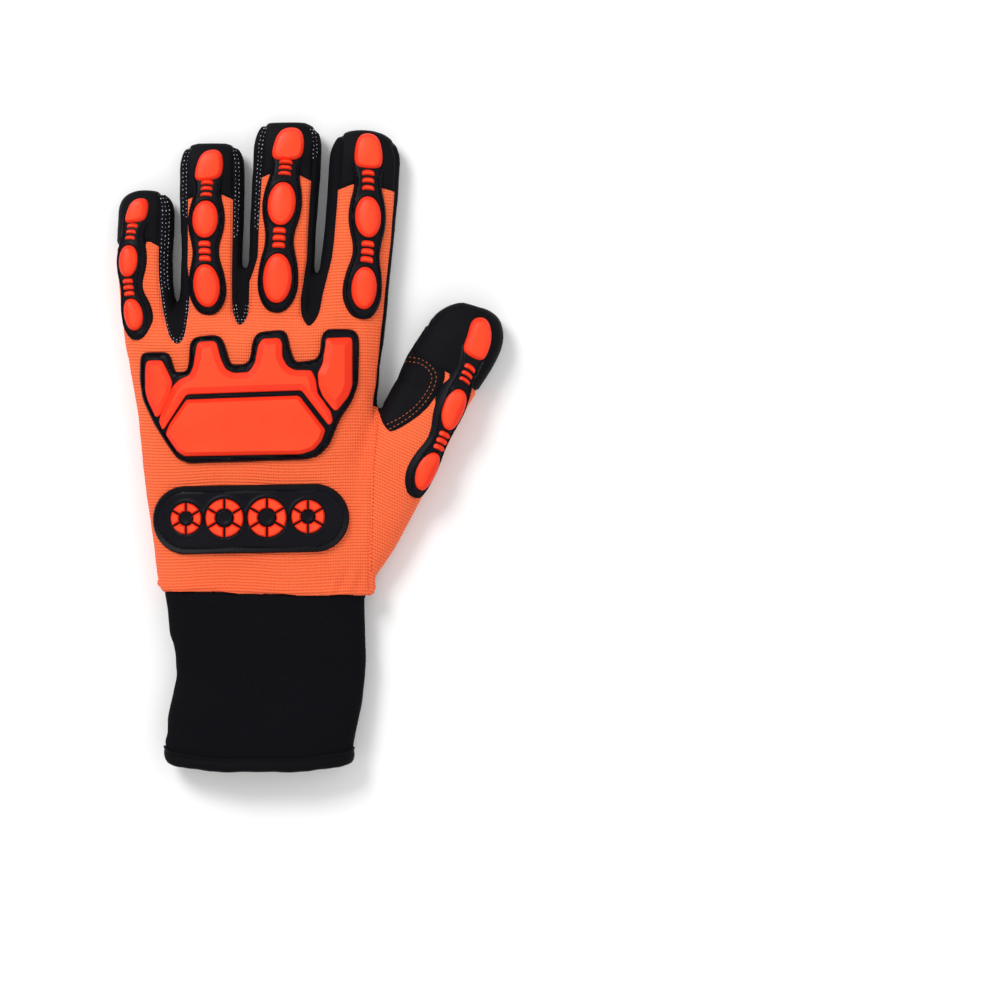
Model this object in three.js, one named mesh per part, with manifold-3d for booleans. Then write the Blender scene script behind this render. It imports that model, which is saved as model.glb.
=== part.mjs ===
// Impact glove for the left hand, lying palm down. Millimetres, +Z up, +Y towards the fingertips.
// The origin lies on the flat underside of the palm, below the middle of the hand.
import * as THREE from "three";
import { mergeVertices } from "three/addons/utils/BufferGeometryUtils.js";
import Module from "manifold-3d";

const wasm = await Module();
wasm.setup();

// Hand
const HAND_WIDTH = 114;
const PALM_LENGTH = 119;
const WRIST_SETBACK = 63.5;
const HAND_DEPTH = 23;
const CLOTH = 1.6;
const SEAM_GAP = 0.3;
const SEAM_HEIGHT = 3.6;
const SEAM_WRAP = 5.2;
const INDEX_WRAP_HEIGHT = 11.5;

// Fingers: free length from the finger's root to its tip, full width and depth
const FINGER_SIZES = {
  little: { length: 69, width: 25.6, depth: 15.5 },
  ring: { length: 88, width: 30.4, depth: 16.5 },
  middle: { length: 97.5, width: 31.4, depth: 17.5 },
  index: { length: 94, width: 32, depth: 17.5 },
  thumb: { length: 127, width: 35.4, depth: 19.5 },
};

// Cuff, its edge binding and the pull tab under it
const CUFF_LENGTH = 80.5;
const CUFF_WIDTH = 87;
const CUFF_DEPTH = 18.5;
const CUFF_WALL = 3;
const CUFF_LAP = 8;
const LAP_CLEARANCE = 0.9;
const BINDING_LENGTH = 8;
const BINDING_WALL = 1.3;
const TAB_LENGTH = 82;
const TAB_WIDTH = 51;
const TAB_THICKNESS = 2;
const WINDOW_LENGTH = 40;
const WINDOW_WIDTH = 14.5;
const INLAY_DEPTH = 0.9;
const MARK_WIDTH = 9;

// Moulded guards: plates with pads standing on them
const FINGER_PLATE = 1.6;
const FINGER_PAD = 1.6;
const BACK_PLATE = 2.2;
const BACK_PAD = 2.2;
const PAD_GAP = 0.3;
const KNUCKLE_GUARD_WIDTH = 98.6;
const KNUCKLE_GUARD_LENGTH = 60.3;
const KNUCKLE_BORDER = 2.6;
const PAD_GROOVE = 1.5;
const WRIST_GUARD_WIDTH = 88.4;
const WRIST_GUARD_LENGTH = 30.6;
const WHEEL_FLOOR = 0.7;
const SPOKE_WIDTH = 1.5;
const FINGER_GUARDS = {
  little: { length: 64, width: 15.4, inset: 3, roll: [-26, -37, -33] },
  ring: { length: 74.5, width: 17, inset: 3.2, roll: [-6, -13, -8] },
  middle: { length: 83.5, width: 17, inset: 2.7, roll: [0, -4, -6] },
  index: { length: 83, width: 17.2, inset: 1.8, roll: [2, 11, 20] },
  thumb: { length: 82, width: 17.6, inset: 4.6, roll: [24, 45, 50] },
};

// Places of the finger roots as shares of the hand's width and the palm's length, heading in
// degrees to the right of +Y, and the finger's bend as drift at shares of its length
const FINGER_ROOTS = {
  little: { across: -0.439, along: 0.938, heading: 0, rootWidth: 1.03 },
  ring: { across: -0.2035, along: 0.954, heading: 0, rootWidth: 0.95 },
  middle: { across: 0.0553, along: 0.954, heading: 0, rootWidth: 0.97 },
  index: { across: 0.3377, along: 0.954, heading: 0, rootWidth: 1.01 },
  thumb: { across: 0.3474, along: 0.1176, heading: 24.95, rootWidth: 0.8 },
};
const FINGER_SPINES = {
  little: [
    { along: -0.2, drift: 0.03 },
    { along: 0, drift: 0 },
    { along: 0.53, drift: -0.04 },
    { along: 1, drift: -0.029 },
  ],
  ring: [
    { along: -0.16, drift: 0 },
    { along: 0, drift: 0 },
    { along: 0.48, drift: 0.011 },
    { along: 1, drift: 0.014 },
  ],
  middle: [
    { along: -0.15, drift: -0.01 },
    { along: 0, drift: 0 },
    { along: 0.51, drift: 0.026 },
    { along: 1, drift: 0.056 },
  ],
  index: [
    { along: -0.15, drift: -0.02 },
    { along: 0, drift: 0 },
    { along: 0.45, drift: 0.053 },
    { along: 1, drift: 0.09 },
  ],
  thumb: [
    { along: -0.07, drift: -0.005 },
    { along: 0.314, drift: 0.0025 },
    { along: 0.531, drift: 0.007 },
    { along: 0.73, drift: 0.016 },
    { along: 0.875, drift: 0.034 },
    { along: 1, drift: 0 },
  ],
};

// Sections along a finger: shares of its length, half width and depth, and a lift of its
// underside as a share of the depth where the joints arch off the floor
const FINGER_SECTIONS = [
  { along: -0.13, width: -0.06, depth: 0.9, lift: 0 },
  { along: 0, width: 0, depth: 1, lift: 0 },
  { along: 0.22, width: -0.025, depth: 0.99, lift: 0.01 },
  { along: 0.42, width: -0.035, depth: 0.98, lift: 0.045 },
  { along: 0.76, width: 0, depth: 0.94, lift: 0 },
];
const THUMB_SECTIONS = [
  { along: -0.04, width: -0.04, depth: 0.74, lift: 0.1 },
  { along: 0.12, width: 0.08, depth: 0.88, lift: 0.07 },
  { along: 0.3, width: 0.09, depth: 0.97, lift: 0.02 },
  { along: 0.5, width: 0.04, depth: 1.0, lift: 0.01 },
  { along: 0.63, width: 0.0, depth: 0.96, lift: 0.02 },
  { along: 0.75, width: 0, depth: 0.94, lift: 0.0 },
];
// The squarish fingertip: distance back from the tip end, and size, as shares of the half width
const TIP_SECTIONS = [
  { back: 0.8, width: 1, depth: 0.94 },
  { back: 0.36, width: 0.93, depth: 0.83 },
  { back: 0.09, width: 0.73, depth: 0.62 },
  { back: 0, width: 0.46, depth: 0.34 },
];
// Sections of the hand from the wrist edge to the crotches, with its edges as shares of the
// hand's width, and the lift that makes room for the tab as a share of that room
const HAND_SECTIONS = [
  { along: 0, left: -0.406, right: 0.446, depth: 0.86, lift: 1 },
  { along: 0.18, left: -0.428, right: 0.447, depth: 0.9, lift: 0.7 },
  { along: 0.33, left: -0.45, right: 0.448, depth: 0.95, lift: 0.2 },
  { along: 0.48, left: -0.471, right: 0.449, depth: 0.98, lift: 0 },
  { along: 0.65, left: -0.49, right: 0.451, depth: 1, lift: 0 },
  { along: 0.8, left: -0.514, right: 0.463, depth: 1, lift: 0 },
  { along: 0.93, left: -0.533, right: 0.474, depth: 0.98, lift: 0 },
  { along: 0.987, left: -0.537, right: 0.478, depth: 0.9, lift: 0 },
  { along: 1.025, left: -0.53, right: 0.474, depth: 0.77, lift: 0 },
  { along: 1.058, left: -0.515, right: 0.463, depth: 0.5, lift: 0 },
];
// Sections of the cuff from the wrist edge to its mouth, edges as shares of its width
const CUFF_SECTIONS = [
  { along: 0.05, left: -0.497, right: 0.529, depth: 1, lift: 0.5 },
  { along: 0.2, left: -0.478, right: 0.533, depth: 1, lift: 0 },
  { along: 0.36, left: -0.455, right: 0.534, depth: 1, lift: 0 },
  { along: 0.65, left: -0.471, right: 0.517, depth: 0.98, lift: 0.3 },
  { along: 0.9, left: -0.487, right: 0.469, depth: 0.96, lift: 1 },
  { along: 1, left: -0.487, right: 0.463, depth: 0.96, lift: 1 },
];

// Section shape: fuller than an ellipse above, flat below, widest at this share of the depth
const SIDE_LINE = 0.42;
const HAND_POWER = 2.35;
const FINGER_POWER = 2.5;
const BASE_POWER = 3.4;
const FINGER_SIDES = 12;
const LINING_SIDES = 10;
const HAND_SIDES = 20;
const CUFF_SIDES = 14;
const WEB_HEIGHT = 7;
const WALL_FOOT = 0.5;
const THUMB_FOOT = 9;

const radians = THREE.MathUtils.degToRad;
const wristY = -WRIST_SETBACK;
const handPlace = (across, along) => [across * HAND_WIDTH, wristY + along * PALM_LENGTH];
const tabRoom = TAB_THICKNESS + SEAM_GAP;
const FAR = 200;

// Solids from three.js geometry, and back
function toSolid(geometry) {
  const bare = geometry.index ? geometry.toNonIndexed() : geometry.clone();
  bare.deleteAttribute("normal");
  bare.deleteAttribute("uv");
  const merged = mergeVertices(bare, 1e-4);
  const vertProperties = new Float32Array(merged.attributes.position.array);
  const triVerts = new Uint32Array(merged.index.array);
  return new wasm.Manifold(new wasm.Mesh({ numProp: 3, vertProperties, triVerts }));
}

function toGeometry(solid) {
  const made = solid.getMesh();
  const geometry = new THREE.BufferGeometry();
  const position = new Float32Array(made.vertProperties);
  geometry.setAttribute("position", new THREE.BufferAttribute(position, 3));
  geometry.setIndex(new THREE.BufferAttribute(new Uint32Array(made.triVerts), 1));
  geometry.computeVertexNormals();
  return geometry;
}

// A closed loft through rings of equally many points, each ring turning the same way
function loft(rings) {
  const count = rings[0].length;
  const faces = [];
  for (let r = 0; r + 1 < rings.length; r += 1) {
    for (let i = 0; i < count; i += 1) {
      const a = r * count + i;
      const b = r * count + ((i + 1) % count);
      faces.push(a, a + count, b + count, a, b + count, b);
    }
  }
  const last = (rings.length - 1) * count;
  const flat = rings[0].map((p) => new THREE.Vector2(p.capX ?? p.x, p.capY ?? p.z));
  for (const [a, b, c] of THREE.ShapeUtils.triangulateShape(flat, [])) {
    faces.push(a, b, c, last + a, last + c, last + b);
  }
  const geometry = new THREE.BufferGeometry().setFromPoints(rings.flat());
  geometry.setIndex(faces);
  return toSolid(geometry);
}

// A ring of a hand, finger or cuff section: [across, height] pairs, anticlockwise from the right
function section(left, right, low, high, power, count) {
  const middle = (left + right) / 2;
  const half = (right - left) / 2;
  const depth = high - low;
  const ring = [];
  for (let i = 0; i < count; i += 1) {
    const turn = (2 * Math.PI * (i + 0.5)) / count;
    const side = Math.cos(turn);
    const rise = Math.sin(turn);
    const share = 2 / (rise >= 0 ? power : BASE_POWER);
    const flat = Math.cos(Math.PI / count) ** share;
    const across = (Math.sign(side) * Math.abs(side) ** share) / flat;
    const above = ((1 - SIDE_LINE) * Math.abs(rise) ** share) / flat;
    const below = (-SIDE_LINE * Math.abs(rise) ** share) / flat;
    ring.push([middle + half * across, low + depth * (SIDE_LINE + (rise >= 0 ? above : below))]);
  }
  return ring;
}

// The middle line of a finger in plan, measured in millimetres from its root
function makeSpine(name) {
  const { across, along, heading } = FINGER_ROOTS[name];
  const { length } = FINGER_SIZES[name];
  const [x, y] = handPlace(across, along);
  const turn = radians(heading);
  const ahead = new THREE.Vector3(Math.sin(turn), Math.cos(turn), 0);
  const aside = new THREE.Vector3(ahead.y, -ahead.x, 0);
  const rows = FINGER_SPINES[name];
  const places = rows.map((row) =>
    new THREE.Vector3(x, y, 0)
      .addScaledVector(ahead, row.along * length)
      .addScaledVector(aside, row.drift * length),
  );
  const curve = new THREE.CatmullRomCurve3(places);
  const whole = curve.getLength();
  const start = rows[0].along * length;
  return (distance) => {
    const share = THREE.MathUtils.clamp((distance - start) / (length - start), 0, 1);
    const forward = curve.getTangentAt(share);
    const beyond = (distance - start) - share * (length - start);
    const place = curve.getPointAt(share).addScaledVector(forward, beyond * (whole / (length - start)));
    return { place, forward, across: new THREE.Vector3(forward.y, -forward.x, 0) };
  };
}

const FINGERS = Object.keys(FINGER_SIZES);
const spines = Object.fromEntries(FINGERS.map((name) => [name, makeSpine(name)]));

function fingerPoint(name, distance, aside, height) {
  const { place, across } = spines[name](distance);
  return place.clone().addScaledVector(across, aside).add(new THREE.Vector3(0, 0, height));
}

// One finger's skin, grown outwards by a distance, or shrunk to the lining where that is negative.
// The lining and the tops of the guards pass through every other section.
function fingerSkin(name, grow, plain = grow < 0) {
  const { length, width, depth } = FINGER_SIZES[name];
  const { rootWidth } = FINGER_ROOTS[name];
  const rows = name === "thumb" ? THUMB_SECTIONS : FINGER_SECTIONS;
  const half = width / 2;
  const widest = rows.at(-1).along;
  const used = rows.filter((row, i) => !plain || i % 2 === 1 || i === 0);
  const cuts = used.map((row) => {
    const root = THREE.MathUtils.lerp(rootWidth, 1, THREE.MathUtils.clamp(row.along / widest, 0, 1));
    const low = row.lift * depth;
    return { at: row.along * length, half: half * (root + row.width), low, high: low + row.depth * depth };
  });
  const tipHigh = rows.at(-1).depth * depth;
  for (const row of TIP_SECTIONS.filter((_, i) => !plain || i !== 1)) {
    const high = tipHigh * (0.62 + 0.38 * row.depth) * (row.depth > 0.9 ? 1 : 0.99);
    cuts.push({ at: length - row.back * half, half: half * row.width, low: high - row.depth * tipHigh, high });
  }
  const rings = cuts.map((cut, index) => {
    const tip = index >= used.length ? grow : 0;
    const side = cut.half + grow;
    const low = Math.max(cut.low, 0) - grow;
    const sides = grow < 0 ? LINING_SIDES : FINGER_SIDES;
    return section(-side, side, low, cut.high + grow, FINGER_POWER, sides).map(([aside, height], i) =>
      Object.assign(fingerPoint(name, cut.at + tip, aside, height), capOf(i, sides)),
    );
  });
  return loft(rings);
}

// Flat places that triangulate the end of a convex ring
function capOf(index, count) {
  const turn = (2 * Math.PI * index) / count;
  return { capX: Math.cos(turn), capY: Math.sin(turn) };
}

function crossSkin(sections, grow, endShift, sides) {
  const rings = sections.map((row) => {
    const shift = row.front ? grow : 0;
    const back = row.back ? -endShift : 0;
    const low = row.low - grow;
    const high = row.high + grow;
    return section(row.left - grow, row.right + grow, low, high, HAND_POWER, sides).map(([x, z], i) =>
      Object.assign(new THREE.Vector3(x, row.y + shift + back, z), capOf(i, sides)),
    );
  });
  return loft(rings);
}

function handRows() {
  return HAND_SECTIONS.map((row) => {
    const [left, y] = handPlace(row.left, row.along);
    const low = row.lift * tabRoom;
    const high = tabRoom * row.lift + row.depth * HAND_DEPTH;
    const right = row.right * HAND_WIDTH;
    return { y, left, right, low, high, front: row.along > 0.95, back: row.along === 0 };
  });
}

const handSkin = (grow, endShift = 0) => crossSkin(handRows(), grow, endShift, HAND_SIDES);
const plainHandSkin = (grow) =>
  crossSkin(handRows().filter((_, i) => i % 2 === 1 || i === 0), grow, 0, HAND_SIDES);

// The hand's edges and underside at a height along the palm
function handAt(y) {
  const rows = handRows();
  const next = Math.max(1, rows.findIndex((row) => row.y > y));
  const [a, b] = [rows[next - 1], rows[next]];
  const share = THREE.MathUtils.clamp((y - a.y) / (b.y - a.y), 0, 1);
  const mix = (key) => THREE.MathUtils.lerp(a[key], b[key], share);
  return { left: mix("left"), right: mix("right"), low: mix("low") };
}

// Upright prisms from outlines in plan
function prism(outline, low = -FAR, high = FAR) {
  const shape = new THREE.Shape(outline.map(([x, y]) => new THREE.Vector2(x, y)));
  const geometry = new THREE.ExtrudeGeometry(shape, { depth: high - low, bevelEnabled: false });
  geometry.translate(0, 0, low);
  return toSolid(geometry);
}

// An outline moved outwards by a distance, with mitred corners
function grownOutline(outline, distance) {
  const points = outline.map(([x, y]) => new THREE.Vector2(x, y));
  const turn = Math.sign(THREE.ShapeUtils.area(points));
  return points.map((point, i) => {
    const before = points[(i + points.length - 1) % points.length];
    const after = points[(i + 1) % points.length];
    const a = point.clone().sub(before).normalize();
    const b = after.clone().sub(point).normalize();
    const bisector = new THREE.Vector2(a.y + b.y, -a.x - b.x).multiplyScalar(turn).normalize();
    const slant = Math.max(0.35, Math.abs(bisector.x * a.y - bisector.y * a.x));
    return [point.x + (bisector.x * distance) / slant, point.y + (bisector.y * distance) / slant];
  });
}

const grownPrism = (outline, grow, low, high) => prism(grownOutline(outline, grow), low, high);

function union(solids) {
  return solids.reduce((a, b) => a.add(b));
}

const group = new THREE.Group();

function addPiece(name, solid, finish) {
  const { color, roughness, metalness = 0 } = finish;
  const material = new THREE.MeshStandardMaterial({ color, roughness, metalness });
  const mesh = new THREE.Mesh(toGeometry(solid), material);
  mesh.name = name;
  group.add(mesh);
}

const FINISH = {
  knit: { color: 0xf2632e, roughness: 0.9 },
  leather: { color: 0x17171c, roughness: 0.75 },
  lycra: { color: 0x1c1c22, roughness: 0.85 },
  neoprene: { color: 0x141418, roughness: 0.9 },
  binding: { color: 0x101013, roughness: 0.8 },
  blackRubber: { color: 0x1b1b1f, roughness: 0.5 },
  orangeRubber: { color: 0xff5528, roughness: 0.45 },
  window: { color: 0x8c8ca5, roughness: 0.4 },
};

// Cloth panels: the hollow shell of the hand is cut along its seams
const WALLED = FINGERS.map((name) => name);
const outer = union([handSkin(0), ...WALLED.map((name) => fingerSkin(name, 0))]);
const inner = union([handSkin(-CLOTH, 2 * CUFF_LAP), ...WALLED.map((name) => fingerSkin(name, -CLOTH))]);
const shell = outer.subtract(inner);

// A line that follows a finger at a share of its half width
function sideLine(name, share, from, to, steps) {
  const half = FINGER_SIZES[name].width / 2;
  const { length } = FINGER_SIZES[name];
  const line = [];
  for (let i = 0; i <= steps; i += 1) {
    const distance = THREE.MathUtils.lerp(from, to, i / steps) * length;
    const point = fingerPoint(name, distance, share * half, 0);
    line.push([point.x, point.y]);
  }
  return line;
}

// Knit strips on the fingers: edges as shares of the half width, and where the tip cap begins
const STRIPS = {
  little: { left: -1.6, right: 0.54, cap: 0.65, peak: 0.02 },
  ring: { left: -0.73, right: 0.7, cap: 0.735, peak: 0.015 },
  middle: { left: -0.7, right: 0.8, cap: 0.76, peak: 0.015 },
  index: { left: -0.69, right: 0.8, cap: 0.727, peak: 0.01 },
  thumb: { left: -1.6, right: 1.6, cap: 0.742, peak: 0.0 },
};

function capOutline(name) {
  const { left, right, cap, peak } = STRIPS[name];
  const start = fingerPoint(name, (cap - peak) * FINGER_SIZES[name].length, 0, 0);
  const leftEdge = sideLine(name, left, cap, 1.08, 1);
  const beyond = name === "index" ? 1.6 : right;
  const rightEdge = sideLine(name, beyond, cap, 1.08, 1).reverse();
  return [[start.x, start.y], ...leftEdge, ...rightEdge];
}

// The web between two fingers runs to a point on the back of the hand
const WEBS = [
  { left: "little", right: "ring", across: -0.3237, along: 0.931 },
  { left: "ring", right: "middle", across: -0.079, along: 1.0025 },
  { left: "middle", right: "index", across: 0.1895, along: 0.9958 },
];

function webOutline(web, leftShare, rightShare) {
  const from = 0.15;
  const leftEdge = sideLine(web.left, leftShare, from, 1.04, 2);
  const rightEdge = sideLine(web.right, rightShare, from, 1.04, 2).reverse();
  const [tipX, tipY] = leftEdge.at(-1);
  const [nextX, nextY] = rightEdge[0];
  const middle = (tipX + nextX) / 2;
  return [handPlace(web.across, web.along), ...leftEdge, [middle, tipY], [middle, nextY], ...rightEdge];
}

// The line in the open space between index finger and thumb, from the crotch outwards
const crotch = handPlace(0.457, 0.7);
const thumbGap = [
  crotch,
  handPlace(0.478, 0.785),
  handPlace(0.513, 0.886),
  handPlace(0.58, 1.02),
  handPlace(0.58, 2),
];

// Palm side: outlines of the palm panel and of the thumb's own palm piece
// A web's sides reach under the knit strips at the foot of the finger walls
function webCutter(web, grow) {
  const upper = webOutline(web, STRIPS[web.left].right, STRIPS[web.right].left);
  const foot = webOutline(web, WALL_FOOT, -WALL_FOOT);
  return grownPrism(upper, grow).add(grownPrism(foot, grow, -FAR, WEB_HEIGHT + grow));
}

function palmOutline() {
  const edge = [0, 0.33, 0.65, 0.85].map((along) => {
    const y = handPlace(0, along)[1];
    return [handAt(y).left + SEAM_WRAP, y];
  });
  edge[0][1] -= CUFF_LAP;
  const wrap = -1 + SEAM_WRAP / (FINGER_SIZES.little.width / 2);
  const little = sideLine("little", wrap, 0.02, 0.5, 1);
  const out = [
    [-HAND_WIDTH, little.at(-1)[1]],
    [-HAND_WIDTH, FAR],
  ];
  const seam = [
    handPlace(0.347, 0.6),
    handPlace(0.304, 0.458),
    handPlace(0.276, 0.269),
    handPlace(0.268, 0.118),
    handPlace(0.268, -0.1),
  ];
  return [...edge, ...little, ...out, ...[...thumbGap].reverse(), ...seam];
}

function thumbPalmOutline() {
  const half = FINGER_SIZES.thumb.width / 2;
  const edgeShare = 1 - SEAM_WRAP / half;
  const outerEdge = sideLine("thumb", edgeShare, -0.02, STRIPS.thumb.cap, 2);
  const tip = sideLine("thumb", 2, STRIPS.thumb.cap, 1.2, 1);
  const start = [handAt(wristY).right - SEAM_WRAP, wristY - CUFF_LAP];
  const gap = [handPlace(0.58, 1.02), handPlace(0.513, 0.886), handPlace(0.478, 0.785), crotch];
  const far = [handPlace(0.58, 1.4)];
  const inside = [handPlace(0.2, 0.65), handPlace(0.2, -0.1)];
  return [start, ...outerEdge, ...tip, ...far, ...gap, ...inside];
}

// The seam between palm and back follows the underside, which rises towards the wrist
function belowSeam(grow) {
  const profile = HAND_SECTIONS.slice(0, 4).map((row) => {
    const y = handPlace(0, row.along)[1];
    return new THREE.Vector2(y, SEAM_HEIGHT + row.lift * tabRoom + grow);
  });
  profile[0].x -= FAR;
  profile.push(new THREE.Vector2(FAR, SEAM_HEIGHT + grow), new THREE.Vector2(FAR, -FAR));
  profile.push(new THREE.Vector2(profile[0].x, -FAR));
  const geometry = new THREE.ExtrudeGeometry(new THREE.Shape(profile), { depth: 2 * FAR, bevelEnabled: false });
  geometry.rotateX(Math.PI / 2);
  geometry.rotateZ(Math.PI / 2);
  geometry.translate(-FAR, 0, 0);
  return toSolid(geometry);
}

function indexWrap(grow) {
  const out = [...thumbGap].slice(1).reverse();
  const wall = (share, height) =>
    grownPrism([...sideLine("index", share, 0.02, 1.2, 2), ...out], grow, -FAR, height + grow);
  return wall(STRIPS.index.right, INDEX_WRAP_HEIGHT).add(wall(WALL_FOOT, WEB_HEIGHT));
}

const THUMB_SEAM = [
  [0.447, 0.7016],
  [0.45, 0.61],
  [0.4386, 0.496],
  [0.434, 0.35],
  [0.426, 0.08],
  [0.426, -0.1],
];
// The patch over the thumb's crotch: corners as shares of the hand's width and palm's length
const SADDLE = [
  [0.478, 0.785],
  [0.513, 0.886],
  [0.56, 0.96],
  [0.7, 0.93],
  [0.707, 0.829],
  [0.71, 0.798],
  [0.695, 0.742],
  [0.644, 0.677],
  [0.565, 0.624],
  [0.517, 0.602],
  [0.497, 0.606],
  [0.466, 0.647],
  [0.457, 0.7],
];

const placed = (outline) => outline.map(([across, along]) => handPlace(across, along));
function palmCutter(grow) {
  return belowSeam(grow).intersect(grownPrism(palmOutline(), grow)).add(indexWrap(grow));
}

function thumbPalmCutter(grow) {
  return belowSeam(grow).intersect(grownPrism(thumbPalmOutline(), grow));
}

function thumbBackCutter(grow) {
  const outside = [[HAND_WIDTH, wristY - CUFF_LAP], [HAND_WIDTH, FAR], ...thumbGap.slice(1).reverse()];
  const seam = placed(THUMB_SEAM);
  const foot = seam.map(([x, y]) => [x - THUMB_FOOT, y]);
  const base = grownPrism([...foot, ...outside.slice(0, 1), crotch], grow, -FAR, WEB_HEIGHT + tabRoom + grow);
  return grownPrism([...seam, ...outside], grow).add(base);
}

const panels = [
  ["palm_panel", FINISH.leather, palmCutter],
  ["thumb_palm", FINISH.leather, thumbPalmCutter],
  ...WEBS.map((web) => [`fourchette_${web.left}_${web.right}`, FINISH.lycra, (grow) => webCutter(web, grow)]),
  ...FINGERS.map((name) => [`${name}_cap`, FINISH.leather, (grow) => grownPrism(capOutline(name), grow)]),
  ["thumb_saddle", FINISH.leather, (grow) => grownPrism(placed(SADDLE), grow)],
  ["thumb_back", FINISH.knit, thumbBackCutter],
];

let rest = shell;
for (const [name, finish, cutter] of panels) {
  addPiece(name, rest.intersect(cutter(0)), finish);
  rest = rest.subtract(cutter(SEAM_GAP));
}
addPiece("back_panel", rest, FINISH.knit);

// Cuff: a neoprene tube lapped inside the hand's open end, with a folded binding on its mouth
function cuffRows() {
  const lap = [0.06, 0].map((along) => {
    const y = handPlace(0, along)[1];
    const hand = handAt(y);
    const inside = CLOTH + LAP_CLEARANCE;
    const high = tabRoom + HAND_SECTIONS[0].depth * HAND_DEPTH - inside;
    return { y, left: hand.left + inside, right: hand.right - inside, low: tabRoom + inside, high };
  });
  lap[0].y = wristY + CUFF_LAP;
  const rim = BINDING_WALL + SEAM_GAP;
  const tube = CUFF_SECTIONS.map((row) => {
    const low = tabRoom + row.lift * (rim + SEAM_GAP);
    const y = wristY - row.along * (CUFF_LENGTH - rim);
    const high = low + row.depth * CUFF_DEPTH;
    return { y, left: row.left * CUFF_WIDTH, right: row.right * CUFF_WIDTH, low, high };
  });
  return [...lap, ...tube].reverse();
}

const cuffOuter = crossSkin(cuffRows(), 0, 0, CUFF_SIDES);
const longRows = cuffRows();
longRows[0].y -= CUFF_LAP;
longRows[longRows.length - 1].y += CUFF_LAP;
const cuffInner = crossSkin(longRows, -CUFF_WALL, 0, CUFF_SIDES);
addPiece("cuff", cuffOuter.subtract(cuffInner), FINISH.neoprene);

const mouthY = wristY - CUFF_LENGTH;
const across = [-HAND_WIDTH, HAND_WIDTH];
const band = (from, to) => prism([[across[0], from], [across[1], from], [across[1], to], [across[0], to]]);
const bindingReach = BINDING_WALL + SEAM_GAP;
const mouthSkin = (grow) => crossSkin(longRows.slice(0, 4), grow, 0, CUFF_SIDES);
const bindingBody = mouthSkin(bindingReach).subtract(mouthSkin(-CUFF_WALL - bindingReach));
const bindingSlot = mouthSkin(SEAM_GAP)
  .subtract(mouthSkin(-CUFF_WALL - SEAM_GAP))
  .intersect(band(mouthY + BINDING_WALL, mouthY + 2 * BINDING_LENGTH));
addPiece(
  "cuff_binding",
  bindingBody.intersect(band(mouthY, mouthY + BINDING_LENGTH)).subtract(bindingSlot),
  FINISH.binding,
);

// Pull tab: a moulded tongue under the cuff, from its head on the wrist seam to the mouth
const TAB_EDGES = [
  { along: 0, left: -0.5, right: 0.4 },
  { along: 0.02, left: -0.56, right: 0.44 },
  { along: 0.1, left: -0.52, right: 0.42 },
  { along: 0.16, left: -0.44, right: 0.35 },
  { along: 0.21, left: -0.33, right: 0.22 },
  { along: 0.24, left: -0.28, right: 0.12 },
  { along: 0.3, left: -0.28, right: 0.1 },
  { along: 0.43, left: -0.3, right: 0.08 },
  { along: 0.64, left: -0.335, right: 0.04 },
  { along: 0.85, left: -0.385, right: 0.005 },
  { along: 0.985, left: -0.42, right: -0.02 },
  { along: 1, left: -0.4, right: -0.04 },
];
const TAB_CENTRE = -5;
const tabTop = wristY + TAB_THICKNESS;
const tabEdge = (key) =>
  TAB_EDGES.map((row) => [TAB_CENTRE + row[key] * TAB_WIDTH, tabTop - row.along * TAB_LENGTH]);
const tabOutline = [...tabEdge("left"), ...tabEdge("right").reverse()];
const windowTop = tabTop - 0.37 * TAB_LENGTH;
const windowX = TAB_CENTRE - 0.245 * TAB_WIDTH;
const WINDOW_SHAPE = [
  [-0.3, 0],
  [0.36, -0.02],
  [0.33, -0.16],
  [0.44, -0.24],
  [0.7, -0.26],
  [0.5, -1],
  [-0.5, -0.96],
];
const windowOutline = WINDOW_SHAPE.map(([x, y]) => [windowX + (x - 0.1) * WINDOW_WIDTH, windowTop + y * WINDOW_LENGTH]);
// A row of chevrons on a bar points the way to pull
function markOutline() {
  const x = windowX - 0.14 * WINDOW_WIDTH;
  const top = windowTop - WINDOW_LENGTH - 0.2 * MARK_WIDTH;
  const half = MARK_WIDTH / 2;
  const step = 0.3 * MARK_WIDTH;
  return [
    [x - half, top],
    [x, top - step],
    [x + half, top],
    [x + half, top - step],
    [x, top - 2 * step],
    [x - half, top - step],
  ];
}
const pocketRoof = INLAY_DEPTH + SEAM_GAP;
const tab = prism(tabOutline, 0, TAB_THICKNESS)
  .subtract(grownPrism(windowOutline, SEAM_GAP, -1, pocketRoof))
  .subtract(grownPrism(markOutline(), SEAM_GAP, -1, pocketRoof));
const INLAY_LIFT = 0.1;
addPiece("pull_tab", tab, FINISH.blackRubber);
addPiece("id_window", prism(windowOutline, INLAY_LIFT, INLAY_DEPTH), FINISH.window);
addPiece("pull_mark", prism(markOutline(), INLAY_LIFT, INLAY_DEPTH), FINISH.orangeRubber);

// Guards on the back of the hand
const handClear = handSkin(SEAM_GAP);
const overHand = (low, high) =>
  plainHandSkin(high).subtract(low > SEAM_GAP ? plainHandSkin(low) : handClear).subtract(fingerSkin("thumb", low));
const plateTop = SEAM_GAP + BACK_PLATE;
const padLow = plateTop + PAD_GAP;
const padTop = padLow + BACK_PAD;
const aboveSide = (outline, grow = 0) => grownPrism(outline, grow, HAND_DEPTH * SIDE_LINE, FAR);

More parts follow.
